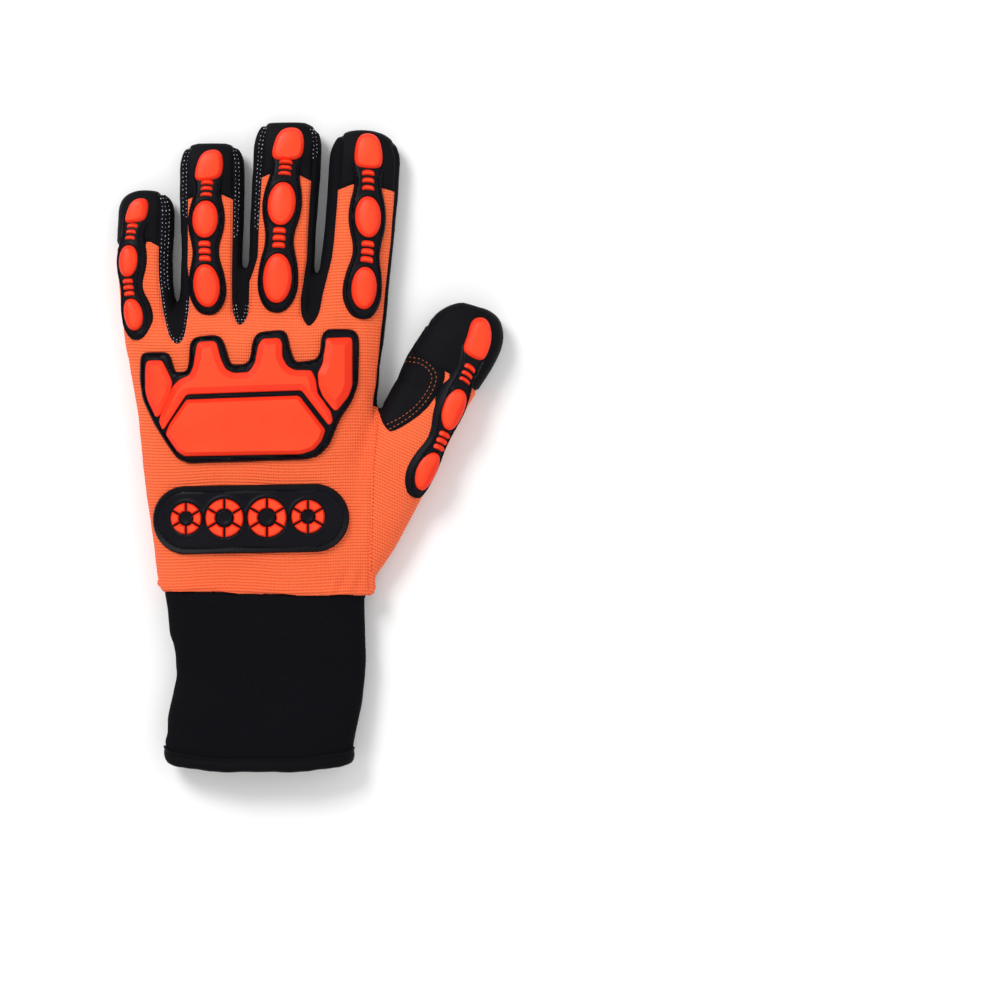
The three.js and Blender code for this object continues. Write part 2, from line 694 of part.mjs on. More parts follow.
// Humps over the four knuckles, from little to index: shares of the guard's width and length
const HUMPS = [
  { left: 0.005, right: 0.147, top: 0.828, dip: 0.685 },
  { left: 0.233, right: 0.394, top: 0.949, dip: 0.735 },
  { left: 0.521, right: 0.69, top: 0.985, dip: 0.761 },
  { left: 0.832, right: 0.998, top: 1, dip: 0.6 },
];
const GUARD_BODY = [
  { across: 0.996, along: 0.59 },
  { across: 0.969, along: 0.463 },
  { across: 0.914, along: 0.328 },
  { across: 0.868, along: 0.142 },
  { across: 0.822, along: 0.06 },
  { across: 0.768, along: 0.03 },
  { across: 0.229, along: 0 },
  { across: 0.174, along: 0.038 },
  { across: 0.129, along: 0.142 },
  { across: 0.069, along: 0.291 },
  { across: 0.014, along: 0.478 },
  { across: 0.001, along: 0.627 },
];
const guardLeft = handPlace(-0.4825, 0)[0];
const guardBase = handPlace(0, 0.4807)[1];
const onGuard = (acrossShare, alongShare) => [
  guardLeft + acrossShare * KNUCKLE_GUARD_WIDTH,
  guardBase + alongShare * KNUCKLE_GUARD_LENGTH,
];
const CORNER = { across: 0.035, along: 0.07 };

function knuckleOutline() {
  const crest = HUMPS.flatMap((hump, i) => {
    const next = HUMPS[i + 1];
    const top = [
      onGuard(hump.left, hump.top - 1.5 * CORNER.along),
      onGuard(hump.left + CORNER.across, hump.top),
      onGuard(hump.right - CORNER.across, hump.top),
      onGuard(hump.right, hump.top - 1.5 * CORNER.along),
    ];
    if (!next) return top;
    const dip = [
      onGuard(THREE.MathUtils.lerp(hump.right, next.left, 0.3), hump.dip),
      onGuard(THREE.MathUtils.lerp(hump.right, next.left, 0.8), hump.dip),
    ];
    return [...top, ...dip];
  });
  return [...crest, ...GUARD_BODY.map((row) => onGuard(row.across, row.along))];
}

const knuckle = knuckleOutline();
addPiece("knuckle_guard", overHand(SEAM_GAP, plateTop).intersect(aboveSide(knuckle)), FINISH.blackRubber);

// Lines that part the pads, as shares of the guard's width and length
const LEFT_PARTING = [
  { across: 0.19, along: 1.2 },
  { across: 0.184, along: 0.74 },
  { across: 0.152, along: 0.605 },
  { across: 0.092, along: 0.418 },
  { across: 0.079, along: 0.2 },
];
const RIGHT_PARTING = [
  { across: 0.806, along: 1.2 },
  { across: 0.806, along: 0.776 },
  { across: 0.804, along: 0.642 },
  { across: 0.823, along: 0.53 },
  { across: 0.882, along: 0.395 },
  { across: 0.937, along: 0.2 },
];
const LOWER_PARTING = [
  { across: 0.047, along: 0.03 },
  { across: 0.115, along: 0.284 },
  { across: 0.216, along: 0.504 },
  { across: 0.731, along: 0.534 },
  { across: 0.864, along: 0.276 },
  { across: 0.937, along: 0.03 },
];
const partingLine = (rows) => rows.map((row) => onGuard(row.across, row.along));
const leftZone = [...partingLine(LEFT_PARTING), onGuard(-0.3, 0.2), onGuard(-0.3, 1.2)];
const rightZone = [...partingLine(RIGHT_PARTING), onGuard(1.3, 0.2), onGuard(1.3, 1.2)];
const lowerZone = [...partingLine(LOWER_PARTING), onGuard(0.937, -0.3), onGuard(0.047, -0.3)];
const padField = overHand(padLow, padTop).intersect(aboveSide(knuckle, -KNUCKLE_BORDER));
const zones = [leftZone, rightZone, lowerZone];
const grooves = union(zones.map((zone) => grownPrism(zone, PAD_GROOVE / 2)));
addPiece("knuckle_crown", padField.subtract(grooves), FINISH.orangeRubber);
["knuckle_left_wing", "knuckle_right_wing", "knuckle_lower_block"].forEach((name, i) => {
  addPiece(name, padField.intersect(grownPrism(zones[i], -PAD_GROOVE / 2)), FINISH.orangeRubber);
});

// Wrist guard: a stadium plate with four spoked wheels
const WRIST_TILT = radians(1);
const [wristGuardX, wristGuardY] = handPlace(-0.0395, 0.273);
const onWrist = (x, y) => [
  wristGuardX + x * Math.cos(WRIST_TILT) - y * Math.sin(WRIST_TILT),
  wristGuardY + x * Math.sin(WRIST_TILT) + y * Math.cos(WRIST_TILT),
];
function stadium(length, width, steps) {
  const radius = width / 2;
  const reach = length / 2 - radius;
  const outline = [];
  for (let i = 0; i <= steps; i += 1) {
    const turn = -Math.PI / 2 + (Math.PI * i) / steps;
    outline.push([reach + radius * Math.cos(turn), radius * Math.sin(turn)]);
  }
  return [...outline, ...outline.map(([x, y]) => [-x, -y])];
}
const wristOutline = stadium(WRIST_GUARD_WIDTH, WRIST_GUARD_LENGTH, 8).map(([x, y]) => onWrist(x, y));
addPiece("wrist_guard", overHand(SEAM_GAP, plateTop).intersect(aboveSide(wristOutline)), FINISH.blackRubber);

// Wheels from little finger side to thumb side: place along the plate and sizes as shares
const WHEELS = [
  { across: -0.331, radius: 0.242, hub: 0.103 },
  { across: -0.138, radius: 0.288, hub: 0.132 },
  { across: 0.0785, radius: 0.294, hub: 0.132 },
  { across: 0.283, radius: 0.25, hub: 0.103 },
];
const SPOKES = 6;
function circle(x, y, radius, sides) {
  const outline = [];
  for (let i = 0; i < sides; i += 1) {
    const turn = (2 * Math.PI * i) / sides;
    outline.push(onWrist(x + radius * Math.cos(turn), y + radius * Math.sin(turn)));
  }
  return outline;
}
WHEELS.forEach((wheel, index) => {
  const x = wheel.across * WRIST_GUARD_WIDTH;
  const radius = wheel.radius * WRIST_GUARD_LENGTH;
  const hub = wheel.hub * WRIST_GUARD_LENGTH;
  const hole = prism(circle(x, 0, hub, 8));
  const disc = aboveSide(circle(x, 0, radius, 12));
  const floor = overHand(padLow, padLow + WHEEL_FLOOR).intersect(disc);
  const spokes = [];
  for (let i = 0; i < SPOKES / 2; i += 1) {
    const turn = Math.PI / SPOKES + (2 * Math.PI * i) / SPOKES;
    const [ux, uy] = [Math.cos(turn), Math.sin(turn)];
    const half = SPOKE_WIDTH / 2;
    const corners = [[-1, -1], [1, -1], [1, 1], [-1, 1]].map(([a, b]) =>
      onWrist(x + a * 2 * radius * ux - b * half * uy, a * 2 * radius * uy + b * half * ux),
    );
    spokes.push(prism(corners));
  }
  const tread = overHand(padLow, padTop).intersect(disc).subtract(union(spokes));
  addPiece(`wrist_wheel_${index + 1}`, floor.add(tread).subtract(hole), FINISH.orangeRubber);
});

// Finger guards: a waisted plate over each finger with a tip pad, two ladders and two oval pads
const PLATE_OUTLINE = [
  { at: -0.03, half: 0.45 },
  { at: 0.0, half: 0.8 },
  { at: 0.12, half: 0.94 },
  { at: 0.27, half: 0.68 },
  { at: 0.435, half: 0.97 },
  { at: 0.605, half: 0.69 },
  { at: 0.83, half: 1 },
  { at: 1, half: 0.4 },
];
const TIP_PAD = [
  { at: 0.0, half: 0.5 },
  { at: 0.025, half: 0.74 },
  { at: 0.11, half: 0.76 },
  { at: 0.18, half: 0.36 },
];
const OVALS = { joint_pad: { from: 0.335, to: 0.55 }, root_pad: { from: 0.715, to: 0.948 } };
const OVAL_HALF = 0.67;
const LADDERS = {
  upper_ribs: { from: 0.197, to: 0.307, bars: 3 },
  lower_ribs: { from: 0.572, to: 0.69, bars: 3 },
};
const LADDER_HALF = 0.36;
const LADDER_SPINE = 0.09;

function mirrored(rows) {
  const right = rows.map((row) => [row.at, row.half]);
  const left = [...rows].reverse().map((row) => [row.at, -row.half]);
  return [...right, ...left];
}

function ovalOutline({ from, to }) {
  const outline = [];
  const sides = 8;
  for (let i = 0; i < sides; i += 1) {
    const turn = (2 * Math.PI * (i + 0.5)) / sides;
    const bulge = (value) => Math.sign(value) * Math.abs(value) ** 0.9;
    outline.push([(from + to) / 2 + ((to - from) / 2) * bulge(Math.sin(turn)), OVAL_HALF * bulge(Math.cos(turn))]);
  }
  return outline;
}

function ladderOutline({ from, to, bars }) {
  const step = (to - from) / (2 * bars - 1);
  const rows = [];
  for (let i = 0; i < bars; i += 1) {
    const start = from + 2 * i * step;
    if (i > 0) rows.push({ at: start, half: LADDER_SPINE });
    rows.push({ at: start, half: LADDER_HALF }, { at: start + step, half: LADDER_HALF });
    if (i + 1 < bars) rows.push({ at: start + step, half: LADDER_SPINE });
  }
  return mirrored(rows);
}

// A cutter that stands on a finger's guard line: the outline holds shares of the guard's length
// from its tip end and of its half width, and each point looks out along the rolled normal
function guardCutter(name, outline) {
  const guard = FINGER_GUARDS[name];
  const { length, depth } = FINGER_SIZES[name];
  const rollCurve = new THREE.CatmullRomCurve3(guard.roll.map((roll) => new THREE.Vector3(roll, 0, 0)));
  const rings = [0.1 * depth, 1.6 * depth].map((reach) =>
    outline.map(([at, half]) => {
      const distance = length - guard.inset - at * guard.length;
      const roll = radians(rollCurve.getPoint(THREE.MathUtils.clamp(at, 0, 1)).x);
      const aside = (half * guard.width) / 2;
      const x = aside * Math.cos(roll) + reach * Math.sin(roll);
      const z = SIDE_LINE * depth - aside * Math.sin(roll) + reach * Math.cos(roll);
      return Object.assign(fingerPoint(name, distance, x, z), { capX: aside, capY: at * guard.length });
    }),
  );
  return loft(rings);
}

const fingerPlateTop = SEAM_GAP + FINGER_PLATE;
const fingerPadLow = fingerPlateTop + PAD_GAP;
const fingerPadTop = fingerPadLow + FINGER_PAD;
for (const name of FINGERS) {
  const cut = (outline) => guardCutter(name, outline);
  const clear = fingerSkin(name, SEAM_GAP).add(handClear);
  const plate = fingerSkin(name, fingerPlateTop, true).intersect(cut(mirrored(PLATE_OUTLINE)));
  addPiece(`${name}_guard`, plate.subtract(clear), FINISH.blackRubber);
  const field = fingerSkin(name, fingerPadTop, true).subtract(fingerSkin(name, fingerPadLow, true));
  addPiece(`${name}_tip_pad`, field.intersect(cut(mirrored(TIP_PAD))), FINISH.orangeRubber);
  for (const [part, span] of Object.entries(LADDERS)) {
    addPiece(`${name}_${part}`, field.intersect(cut(ladderOutline(span))), FINISH.orangeRubber);
  }
  for (const [part, span] of Object.entries(OVALS)) {
    addPiece(`${name}_${part}`, field.intersect(cut(ovalOutline(span))), FINISH.orangeRubber);
  }
}

export default group;
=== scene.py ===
"""An impact glove lying palm down: cloth hand, neoprene cuff and moulded rubber guards.

Lengths are in millimetres while shapes are worked out, and become metres in the meshes.
The frame is the part's own: +Y to the fingertips, +X to the thumb, +Z up.
"""

import logging
import math
from collections.abc import Callable, Iterable, Sequence
from dataclasses import dataclass, field
from enum import Enum

import bpy
import numpy as np
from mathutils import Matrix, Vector
from mathutils.bvhtree import BVHTree
from mathutils.kdtree import KDTree

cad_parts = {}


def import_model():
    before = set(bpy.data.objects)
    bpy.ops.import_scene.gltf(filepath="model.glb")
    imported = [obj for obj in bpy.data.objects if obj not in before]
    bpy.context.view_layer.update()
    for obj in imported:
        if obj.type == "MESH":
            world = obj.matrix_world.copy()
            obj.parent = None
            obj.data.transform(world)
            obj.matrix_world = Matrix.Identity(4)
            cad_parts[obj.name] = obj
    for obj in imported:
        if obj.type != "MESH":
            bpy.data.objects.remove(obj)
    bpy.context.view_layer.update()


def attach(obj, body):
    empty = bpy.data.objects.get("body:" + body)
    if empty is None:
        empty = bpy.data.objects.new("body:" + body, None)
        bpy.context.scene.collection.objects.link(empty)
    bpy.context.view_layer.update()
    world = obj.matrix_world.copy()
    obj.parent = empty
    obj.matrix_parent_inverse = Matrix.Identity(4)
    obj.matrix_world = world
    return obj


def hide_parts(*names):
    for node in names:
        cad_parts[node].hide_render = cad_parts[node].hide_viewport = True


Array = np.ndarray
Outline = Sequence[tuple[float, float]]
Row = tuple[Array, Array]
Materials = dict[str, bpy.types.Material]

log = logging.getLogger("impact_glove")

MM = 0.001
# The hand, and the room below it for the pull tab
HAND_WIDTH = 114.0
PALM_LENGTH = 119.0
WRIST_Y = -63.5
HAND_DEPTH = 23.0
TAB_ROOM = 2.3
# Sections: share of the height at which they are widest, and powers of their curves above and below
SIDE_LINE = 0.42
HAND_POWER = 2.35
FINGER_POWER = 2.5
BASE_POWER = 3.4
# Share of a finger's half width over which its tip is rounded
TIP_START = 0.8
# The seam between palm and back: its height, how far it lies in from the edge, and its rise beside the index
SEAM_HEIGHT = 3.6
SEAM_WRAP = 5.2
INDEX_WRAP_HEIGHT = 11.5
# Feet of the side walls: height, start as a share of the half width, and how far the thumb's goes under
WEB_HEIGHT = 7.0
WALL_FOOT = 0.5
THUMB_FOOT = 9.0
# How far a panel's outline runs on past the wrist, and a place beyond everything
BELOW_WRIST = 8
FAR = 400.0
# Thickness of the cloth, and spacing of the nets
CLOTH = 1.2
BODY_CELL = 0.92
HAND_SIDES = 160
FINGER_SIDES = 96
BINDING_SIDES = 240
# Blocks that fill the webs between the fingers, and the reach of the smoothing there
WEB_BLOCK_START = 56.0
WEB_BLOCK_HEIGHTS = (3.2, 13.5)
CROTCH_REACH = 9
# Millimetres in one drawing unit of the outlines, and the places in them that lie on the frame's origin
UNIT = 0.45
KNUCKLE_MIDDLE = (262, 450)
PALM_MIDDLE = (680, 450)


# Plain numbers: curves, sections, outlines
def cubic(at: Array, places: Array, values: Array) -> Array:
    """Runs a smooth curve without overshoot through given values.

    Args:
        at: Where the curve is wanted.
        places: Increasing places of the values.
        values: The value at each place.

    Returns:
        The curve's values, held constant beyond the ends.
    """
    step = np.diff(places)
    slope = np.diff(values) / step
    tangent = np.zeros(len(values))
    tangent[0], tangent[-1] = slope[0], slope[-1]
    same = slope[:-1] * slope[1:] > 0
    total = np.where(same, slope[:-1] + slope[1:], 1.0)
    tangent[1:-1] = np.where(same, 2 * slope[:-1] * slope[1:] / total, 0.0)
    at = np.clip(np.asarray(at, float), places[0], places[-1])
    i = np.clip(np.searchsorted(places, at, side="right") - 1, 0, len(step) - 1)
    t = (at - places[i]) / step[i]
    rise = values[i] * (1 + 2 * t) * (1 - t) ** 2 + values[i + 1] * t**2 * (3 - 2 * t)
    return rise + step[i] * (tangent[i] * t * (1 - t) ** 2 + tangent[i + 1] * t**2 * (t - 1))


def ease(value: Array, low: float, high: float) -> Array:
    """Rises smoothly from 0 at low to 1 at high."""
    t = np.clip((value - low) / (high - low), 0, 1)
    return t * t * (3 - 2 * t)


def bell(value: Array, width: float) -> Array:
    """A smooth bump of height 1 about zero."""
    return np.exp(-((value / width) ** 2))


def section(left: float, right: float, low: float, high: float, power: float, count: int) -> Array:
    """One ring of a section, fuller than an ellipse above and flat below.

    Args:
        left: Left edge.
        right: Right edge.
        low: Lowest height.
        high: Highest height.
        power: Roundness of the upper part.
        count: Points in the ring.

    Returns:
        Points as (across, height), anticlockwise from the right.
    """
    turn = 2 * math.pi * np.arange(count) / count
    side, rise = np.cos(turn), np.sin(turn)
    share = np.where(rise >= 0, 2 / power, 2 / BASE_POWER)
    across = np.sign(side) * np.abs(side) ** share
    up = np.where(rise >= 0, 1 - SIDE_LINE, -SIDE_LINE) * np.abs(rise) ** share
    x = (left + right) / 2 + (right - left) / 2 * across
    return np.stack([x, low + (high - low) * (SIDE_LINE + up)], 1)


def depth_in_section(x: Array, z: Array, box: tuple[Array, Array, Array, Array], power: float) -> Array:
    """How far out a point lies in a section: 1 on the skin, less inside.

    Args:
        x: Places across.
        z: Heights.
        box: Left, right, low and high of the section at each point.
        power: Roundness of the upper part.

    Returns:
        The section's own measure at each point.
    """
    left, right, low, high = box
    base = low + SIDE_LINE * (high - low)
    above = z >= base
    reach = np.where(above, high - base, base - low)
    shape = np.where(above, power, BASE_POWER)
    across = np.abs((x - (left + right) / 2) / ((right - left) / 2))
    return across**shape + np.abs((z - base) / reach) ** shape


def inside_by(points: Array, outline: Outline) -> Array:
    """Signed distance to an outline in plan, positive inside.

    Args:
        points: Rows that start with x and y.
        outline: Corners in order.

    Returns:
        One distance for each point.
    """
    corners = np.asarray(outline, float)
    x, y = points[:, 0], points[:, 1]
    nearest = np.full(len(points), np.inf)
    within = np.zeros(len(points), bool)
    for (ax, ay), (bx, by) in zip(corners, np.roll(corners, -1, 0)):
        ex, ey = bx - ax, by - ay
        size = ex * ex + ey * ey
        if size < 1e-12:
            continue
        t = np.clip(((x - ax) * ex + (y - ay) * ey) / size, 0, 1)
        nearest = np.minimum(nearest, (x - ax - t * ex) ** 2 + (y - ay - t * ey) ** 2)
        if ay != by:
            within ^= ((ay > y) != (by > y)) & (x < ax + (y - ay) * ex / ey)
    return np.where(within, 1, -1) * np.sqrt(nearest)


def softened(outline: Outline, passes: int = 2, closed: bool = True, most: float = FAR) -> Array:
    """Rounds the corners of an outline by cutting them.

    Args:
        outline: Corners in order.
        passes: Times that every corner is cut.
        closed: Whether the outline is a loop.
        most: Longest cut along an edge.

    Returns:
        The rounded outline.
    """
    points = np.asarray(outline, float)
    for _ in range(passes):
        ahead = np.roll(points, -1, 0)
        size = np.linalg.norm(ahead - points, axis=1, keepdims=True)
        share = np.minimum(0.25, most / np.maximum(size, 1e-9))
        cut = np.stack([points + share * (ahead - points), ahead - share * (ahead - points)], 1)
        if closed:
            points = cut.reshape(-1, points.shape[1])
        else:
            points = np.concatenate([points[:1], cut[:-1].reshape(-1, points.shape[1]), points[-1:]])
    return points


def spaced(line: Array, step: float, closed: bool = False) -> Array:
    """Points at an even spacing along a line, with at least two of them.

    Args:
        line: Corners in order.
        step: Wanted spacing.
        closed: Whether the line is a loop.

    Returns:
        The points.
    """
    line = np.asarray(line, float)
    if closed:
        line = np.concatenate([line, line[:1]])
    run = np.concatenate([[0], np.cumsum(np.linalg.norm(np.diff(line, axis=0), axis=1))])
    count = max(2, round(run[-1] / step) + (0 if closed else 1))
    at = np.linspace(0, run[-1], count, endpoint=not closed)
    return np.stack([np.interp(at, run, line[:, k]) for k in range(line.shape[1])], 1)


def from_back(rows: Outline) -> Array:
    """Places on the back of the hand, from rows in drawing units of 0.45 mm that count downwards."""
    return (np.asarray(rows, float) - KNUCKLE_MIDDLE) * (UNIT, -UNIT)


def from_palm(rows: Outline) -> Array:
    """Places on the palm side, from rows in the same drawing units about the palm's middle."""
    return (np.asarray(rows, float) - PALM_MIDDLE) * (UNIT, -UNIT)


# Meshes as arrays
@dataclass
class Net:
    """A triangle mesh: points, faces and the values carried by each point."""

    points: Array
    faces: Array
    carried: dict[str, Array] = field(default_factory=dict)

    def pick(self, keep: Array) -> "Net":
        """The part of the mesh whose faces are kept.

        Args:
            keep: Whether each face is kept.

        Returns:
            The smaller mesh.
        """
        faces = self.faces[keep]
        used, again = np.unique(faces, return_inverse=True)
        carried = {name: values[used] for name, values in self.carried.items()}
        return Net(self.points[used], again.reshape(-1, 3), carried)

    def normals(self) -> Array:
        """Unit normals at the points.

        Returns:
            One unit vector for each point.
        """
        a, b, c = (self.points[self.faces[:, k]] for k in range(3))
        facing = np.cross(b - a, c - a)
        total = np.zeros_like(self.points)
        for k in range(3):
            for axis in range(3):
                total[:, axis] += np.bincount(self.faces[:, k], facing[:, axis], len(self.points))
        return total / np.maximum(np.linalg.norm(total, axis=1, keepdims=True), 1e-12)

    def rim(self) -> Array:
        """Directed edges that belong to one face only.

        Returns:
            Rows of two points.
        """
        edges = np.concatenate([self.faces[:, [0, 1]], self.faces[:, [1, 2]], self.faces[:, [2, 0]]])
        key = np.sort(edges, 1) @ (len(self.points), 1)
        _, first, count = np.unique(key, return_index=True, return_counts=True)
        return edges[first[count == 1]]

    def smoothed(self, rounds: int, amount: Array | float = 0.5) -> None:
        """Draws every point towards the middle of its neighbours.

        Args:
            rounds: How many times.
            amount: Share of the way, for all points or for each.
        """
        edges = np.concatenate([self.faces[:, [0, 1]], self.faces[:, [1, 2]], self.faces[:, [2, 0]]])
        count = np.maximum(np.bincount(edges[:, 0], minlength=len(self.points)), 1)
        amount = np.asarray(amount, float).reshape(-1, 1)
        for _ in range(rounds):
            middle = np.stack(
                [np.bincount(edges[:, 0], self.points[edges[:, 1], k], len(self.points)) for k in range(3)], 1
            )
            self.points = self.points + amount * (middle / count[:, None] - self.points)

    def cut(self, values: Array, among: Array | None = None) -> tuple["Net", Array, Array]:
        """Splits faces along the line where values at the points cross zero.

        Args:
            values: One value for each point.
            among: Which faces may be split, or all of them.

        Returns:
            The split mesh, whether each face lies on the positive side, and the face each came from.
        """
        values = np.where(np.abs(values) < 1e-7, 1e-7, values)
        among = np.ones(len(self.faces), bool) if among is None else among
        plus = values[self.faces] > 0
        crossed = among & plus.any(1) & ~plus.all(1)
        cases, signs = self.faces[crossed], plus[crossed]
        lone = np.argmax(signs == (signs.sum(1) == 1)[:, None], 1)
        rows = np.arange(len(cases))
        a, b, c = (cases[rows, (lone + k) % 3] for k in range(3))
        pairs = np.stack([np.concatenate([a, a]), np.concatenate([b, c])], 1)
        key = np.sort(pairs, 1) @ (len(self.points), 1)
        _, first, back = np.unique(key, return_index=True, return_inverse=True)
        start, end = pairs[first, 0], pairs[first, 1]
        share = np.clip(values[start] / (values[start] - values[end]), 0.04, 0.96)[:, None]

        def between(rows: Array) -> Array:
            """Values at the new points, from those at the old ones."""
            weight = share.reshape(-1, *[1] * (rows.ndim - 1))
            return rows[start] + weight * (rows[end] - rows[start])

        ab, ac = np.split(back.ravel() + len(self.points), 2)
        halves = [np.stack(f, 1) for f in ((a, ab, ac), (ab, b, c), (ab, c, ac))]
        faces = np.concatenate([self.faces[~crossed], *halves])
        carried = {name: np.concatenate([rows, between(rows)]) for name, rows in self.carried.items()}
        side = signs[rows, lone]
        origin = np.concatenate([np.flatnonzero(~crossed), *[np.flatnonzero(crossed)] * 3])
        positive = np.concatenate([plus[~crossed].sum(1) >= 2, side, ~side, ~side])
        return Net(np.concatenate([self.points, between(self.points)]), faces, carried), positive, origin


def make_mesh(name: str, net: Net, sharp: float | None = 35) -> bpy.types.Object:
    """Turns a mesh in millimetres into a Blender object in metres.

    Args:
        name: The piece's name.
        net: Its mesh, with any carried values, which become attributes.
        sharp: Angle in degrees past which an edge is shown sharp, or none.

    Returns:
        The new object, linked to the scene.
    """
    mesh = bpy.data.meshes.new(name)
    mesh.from_pydata((net.points * MM).tolist(), [], net.faces.tolist())
    for label, values in net.carried.items():
        attribute = mesh.attributes.new(label, "FLOAT", "POINT")
        attribute.data.foreach_set("value", values.astype(np.float32))
    mesh.shade_smooth()
    if sharp is not None:
        mesh.set_sharp_from_angle(angle=math.radians(sharp))
    piece = bpy.data.objects.new(name, mesh)
    bpy.context.scene.collection.objects.link(piece)
    return piece


def dress(
    piece: bpy.types.Object, material: bpy.types.Material, nodes: Sequence[str] = ()
) -> None:
    """Gives a piece its material, its body and the solids that it stands for.

    Args:
        piece: The piece.
        material: Its only material.
        nodes: Names of the solids that it replaces.
    """
    piece.data.materials.clear()
    piece.data.materials.append(material)
    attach(piece, "root")
    if nodes:
        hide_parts(*nodes)
    log.info("%s: %d faces", piece.name, len(piece.data.polygons))


def add(name: str, net: Net, finishes: Materials, slot: str, node: str, sharp: float = 35) -> None:
    """Adds a piece that stands for one solid.

    Args:
        name: The piece's name.
        net: Its mesh.
        finishes: Materials by slot.
        slot: Its slot in the record.
        node: The solid that it replaces.
        sharp: Angle in degrees past which an edge is shown sharp.
    """
    dress(make_mesh(name, net, sharp), finishes[slot], [node])


def closed(net: Net, floor: Array) -> Net:
    """Closes a surface with a second sheet of points and a wall round the rim.

    Args:
        net: The outer surface.
        floor: A lower place for each of its points.

    Returns:
        A closed mesh.
    """
    count = len(net.points)
    rim = net.rim()
    wall = np.concatenate(
        [
            np.stack([rim[:, 1], rim[:, 0], rim[:, 0] + count], 1),
            np.stack([rim[:, 1], rim[:, 0] + count, rim[:, 1] + count], 1),
        ]
    )
    faces = np.concatenate([net.faces, net.faces[:, ::-1] + count, wall])
    carried = {name: np.concatenate([values, values]) for name, values in net.carried.items()}
    return Net(np.concatenate([net.points, floor]), faces, carried)


def patch(outline: Outline, cell: float, creases: Sequence[float] = ()) -> tuple[Net, Array]:
    """A flat net inside an outline, with edges along it and along lines inside it.

    Args:
        outline: Corners in plan.
        cell: Spacing of the net.
        creases: Distances from the outline at which the net has an edge line.

    Returns:
        The flat net, and each point's distance from the outline.
    """
    corners = np.asarray(outline, float)
    low, high = corners.min(0) - 1.5 * cell, corners.max(0) + 1.5 * cell
    count = np.ceil((high - low) / cell).astype(int) + 1
    xs, ys = (low[k] + cell * np.arange(count[k]) for k in (0, 1))
    x, y = np.meshgrid(xs, ys, indexing="ij")
    points = np.stack([x.ravel(), y.ravel(), np.zeros(x.size)], 1)
    i, j = np.meshgrid(np.arange(count[0] - 1), np.arange(count[1] - 1), indexing="ij")
    a = (i * count[1] + j).ravel()
    b, c, d = a + count[1], a + count[1] + 1, a + 1
    faces = np.concatenate([np.stack([a, b, c], 1), np.stack([a, c, d], 1)])
    net = Net(points, faces, {"inside": inside_by(points, corners)})
    net = net.pick(net.carried["inside"][net.faces].max(1) > -1.2 * cell)
    for level in (0.0, *creases):
        net, _, _ = net.cut(net.carried["inside"] - level)
    net = net.pick(net.carried["inside"][net.faces].mean(1) > 0)
    return net, np.maximum(net.carried.pop("inside"), 0)


# The hand's form
@dataclass(frozen=True)
class Finger:
    """One finger: sizes in millimetres, its root as shares of the hand, and its guard."""

    name: str
    length: float
    width: float
    depth: float
    across: float
    along: float
    heading: float
    root: float
    bend: Outline
    guard_length: float
    guard_width: float
    inset: float
    roll: tuple[float, float, float]
    strip: tuple[float, float]
    cap: float
    beside: float = 0.0
    point: float = 1.0

    def spine(self, distance: Array) -> tuple[Array, Array]:
        """The middle line in plan.

        Args:
            distance: Distances from the root along the finger.

        Returns:
            Places in plan, and the unit direction to the finger's right at each.
        """
        turn = math.radians(self.heading)
        ahead = np.array([math.sin(turn), math.cos(turn)])
        aside = np.array([ahead[1], -ahead[0]])
        origin = np.array([self.across * HAND_WIDTH, WRIST_Y + self.along * PALM_LENGTH])
        rows = np.asarray(self.bend)
        at = np.asarray(distance, float)

        def drift(s: Array) -> Array:
            """How far the finger bends aside."""
            return cubic(s / self.length, rows[:, 0], rows[:, 1]) * self.length

        slope = (drift(at + 1.0) - drift(at - 1.0)) / 2
        place = origin + at[:, None] * ahead + drift(at)[:, None] * aside
        forward = ahead + slope[:, None] * aside
        forward /= np.linalg.norm(forward, axis=1, keepdims=True)
        return place, np.stack([forward[:, 1], -forward[:, 0]], 1)

    def profile(self, distance: Array, grow: Array | float = 0.0) -> tuple[Array, Array, Array]:
        """Half width, lowest and highest height of the skin along the finger.

        Args:
            distance: Distances from the root.
            grow: How far the skin is moved outwards.

        Returns:
            The three sizes at each distance.
        """
        rows = THUMB_SECTIONS if self.name == "thumb" else FINGER_SECTIONS
        half = self.width / 2
        cuts = []
        for along, width, depth, lift in rows:
            taper = min(max(along / rows[-1][0], 0), 1)
            size = half * (self.root + (1 - self.root) * taper + width)
            low = lift * self.depth
            cuts.append((along * self.length, size, low, low + depth * self.depth))
        tip = rows[-1][2] * self.depth
        for back, width, depth in TIP_SECTIONS:
            high = tip * (0.62 + 0.38 * depth) * (1 if depth > 0.9 else 0.99)
            cuts.append((self.length - back * half, half * width**self.point, high - depth * tip, high))
        table = np.array(cuts)
        start = self.length - TIP_START * half
        shift = grow * ease(np.asarray(distance, float), start - 5, start + 3)
        at = distance - shift
        size, low, high = (cubic(at, table[:, 0], table[:, k]) for k in (1, 2, 3))
        return size + grow, low - grow, high + grow

    def line(self, share: float, start: float, end: float, steps: int = 6) -> list[tuple[float, float]]:
        """A line beside the middle line, at a share of the half width, between shares of the length."""
        place, aside = self.spine(np.linspace(start, end, steps + 1) * self.length)
        return [tuple(p) for p in place + aside * share * self.width / 2]


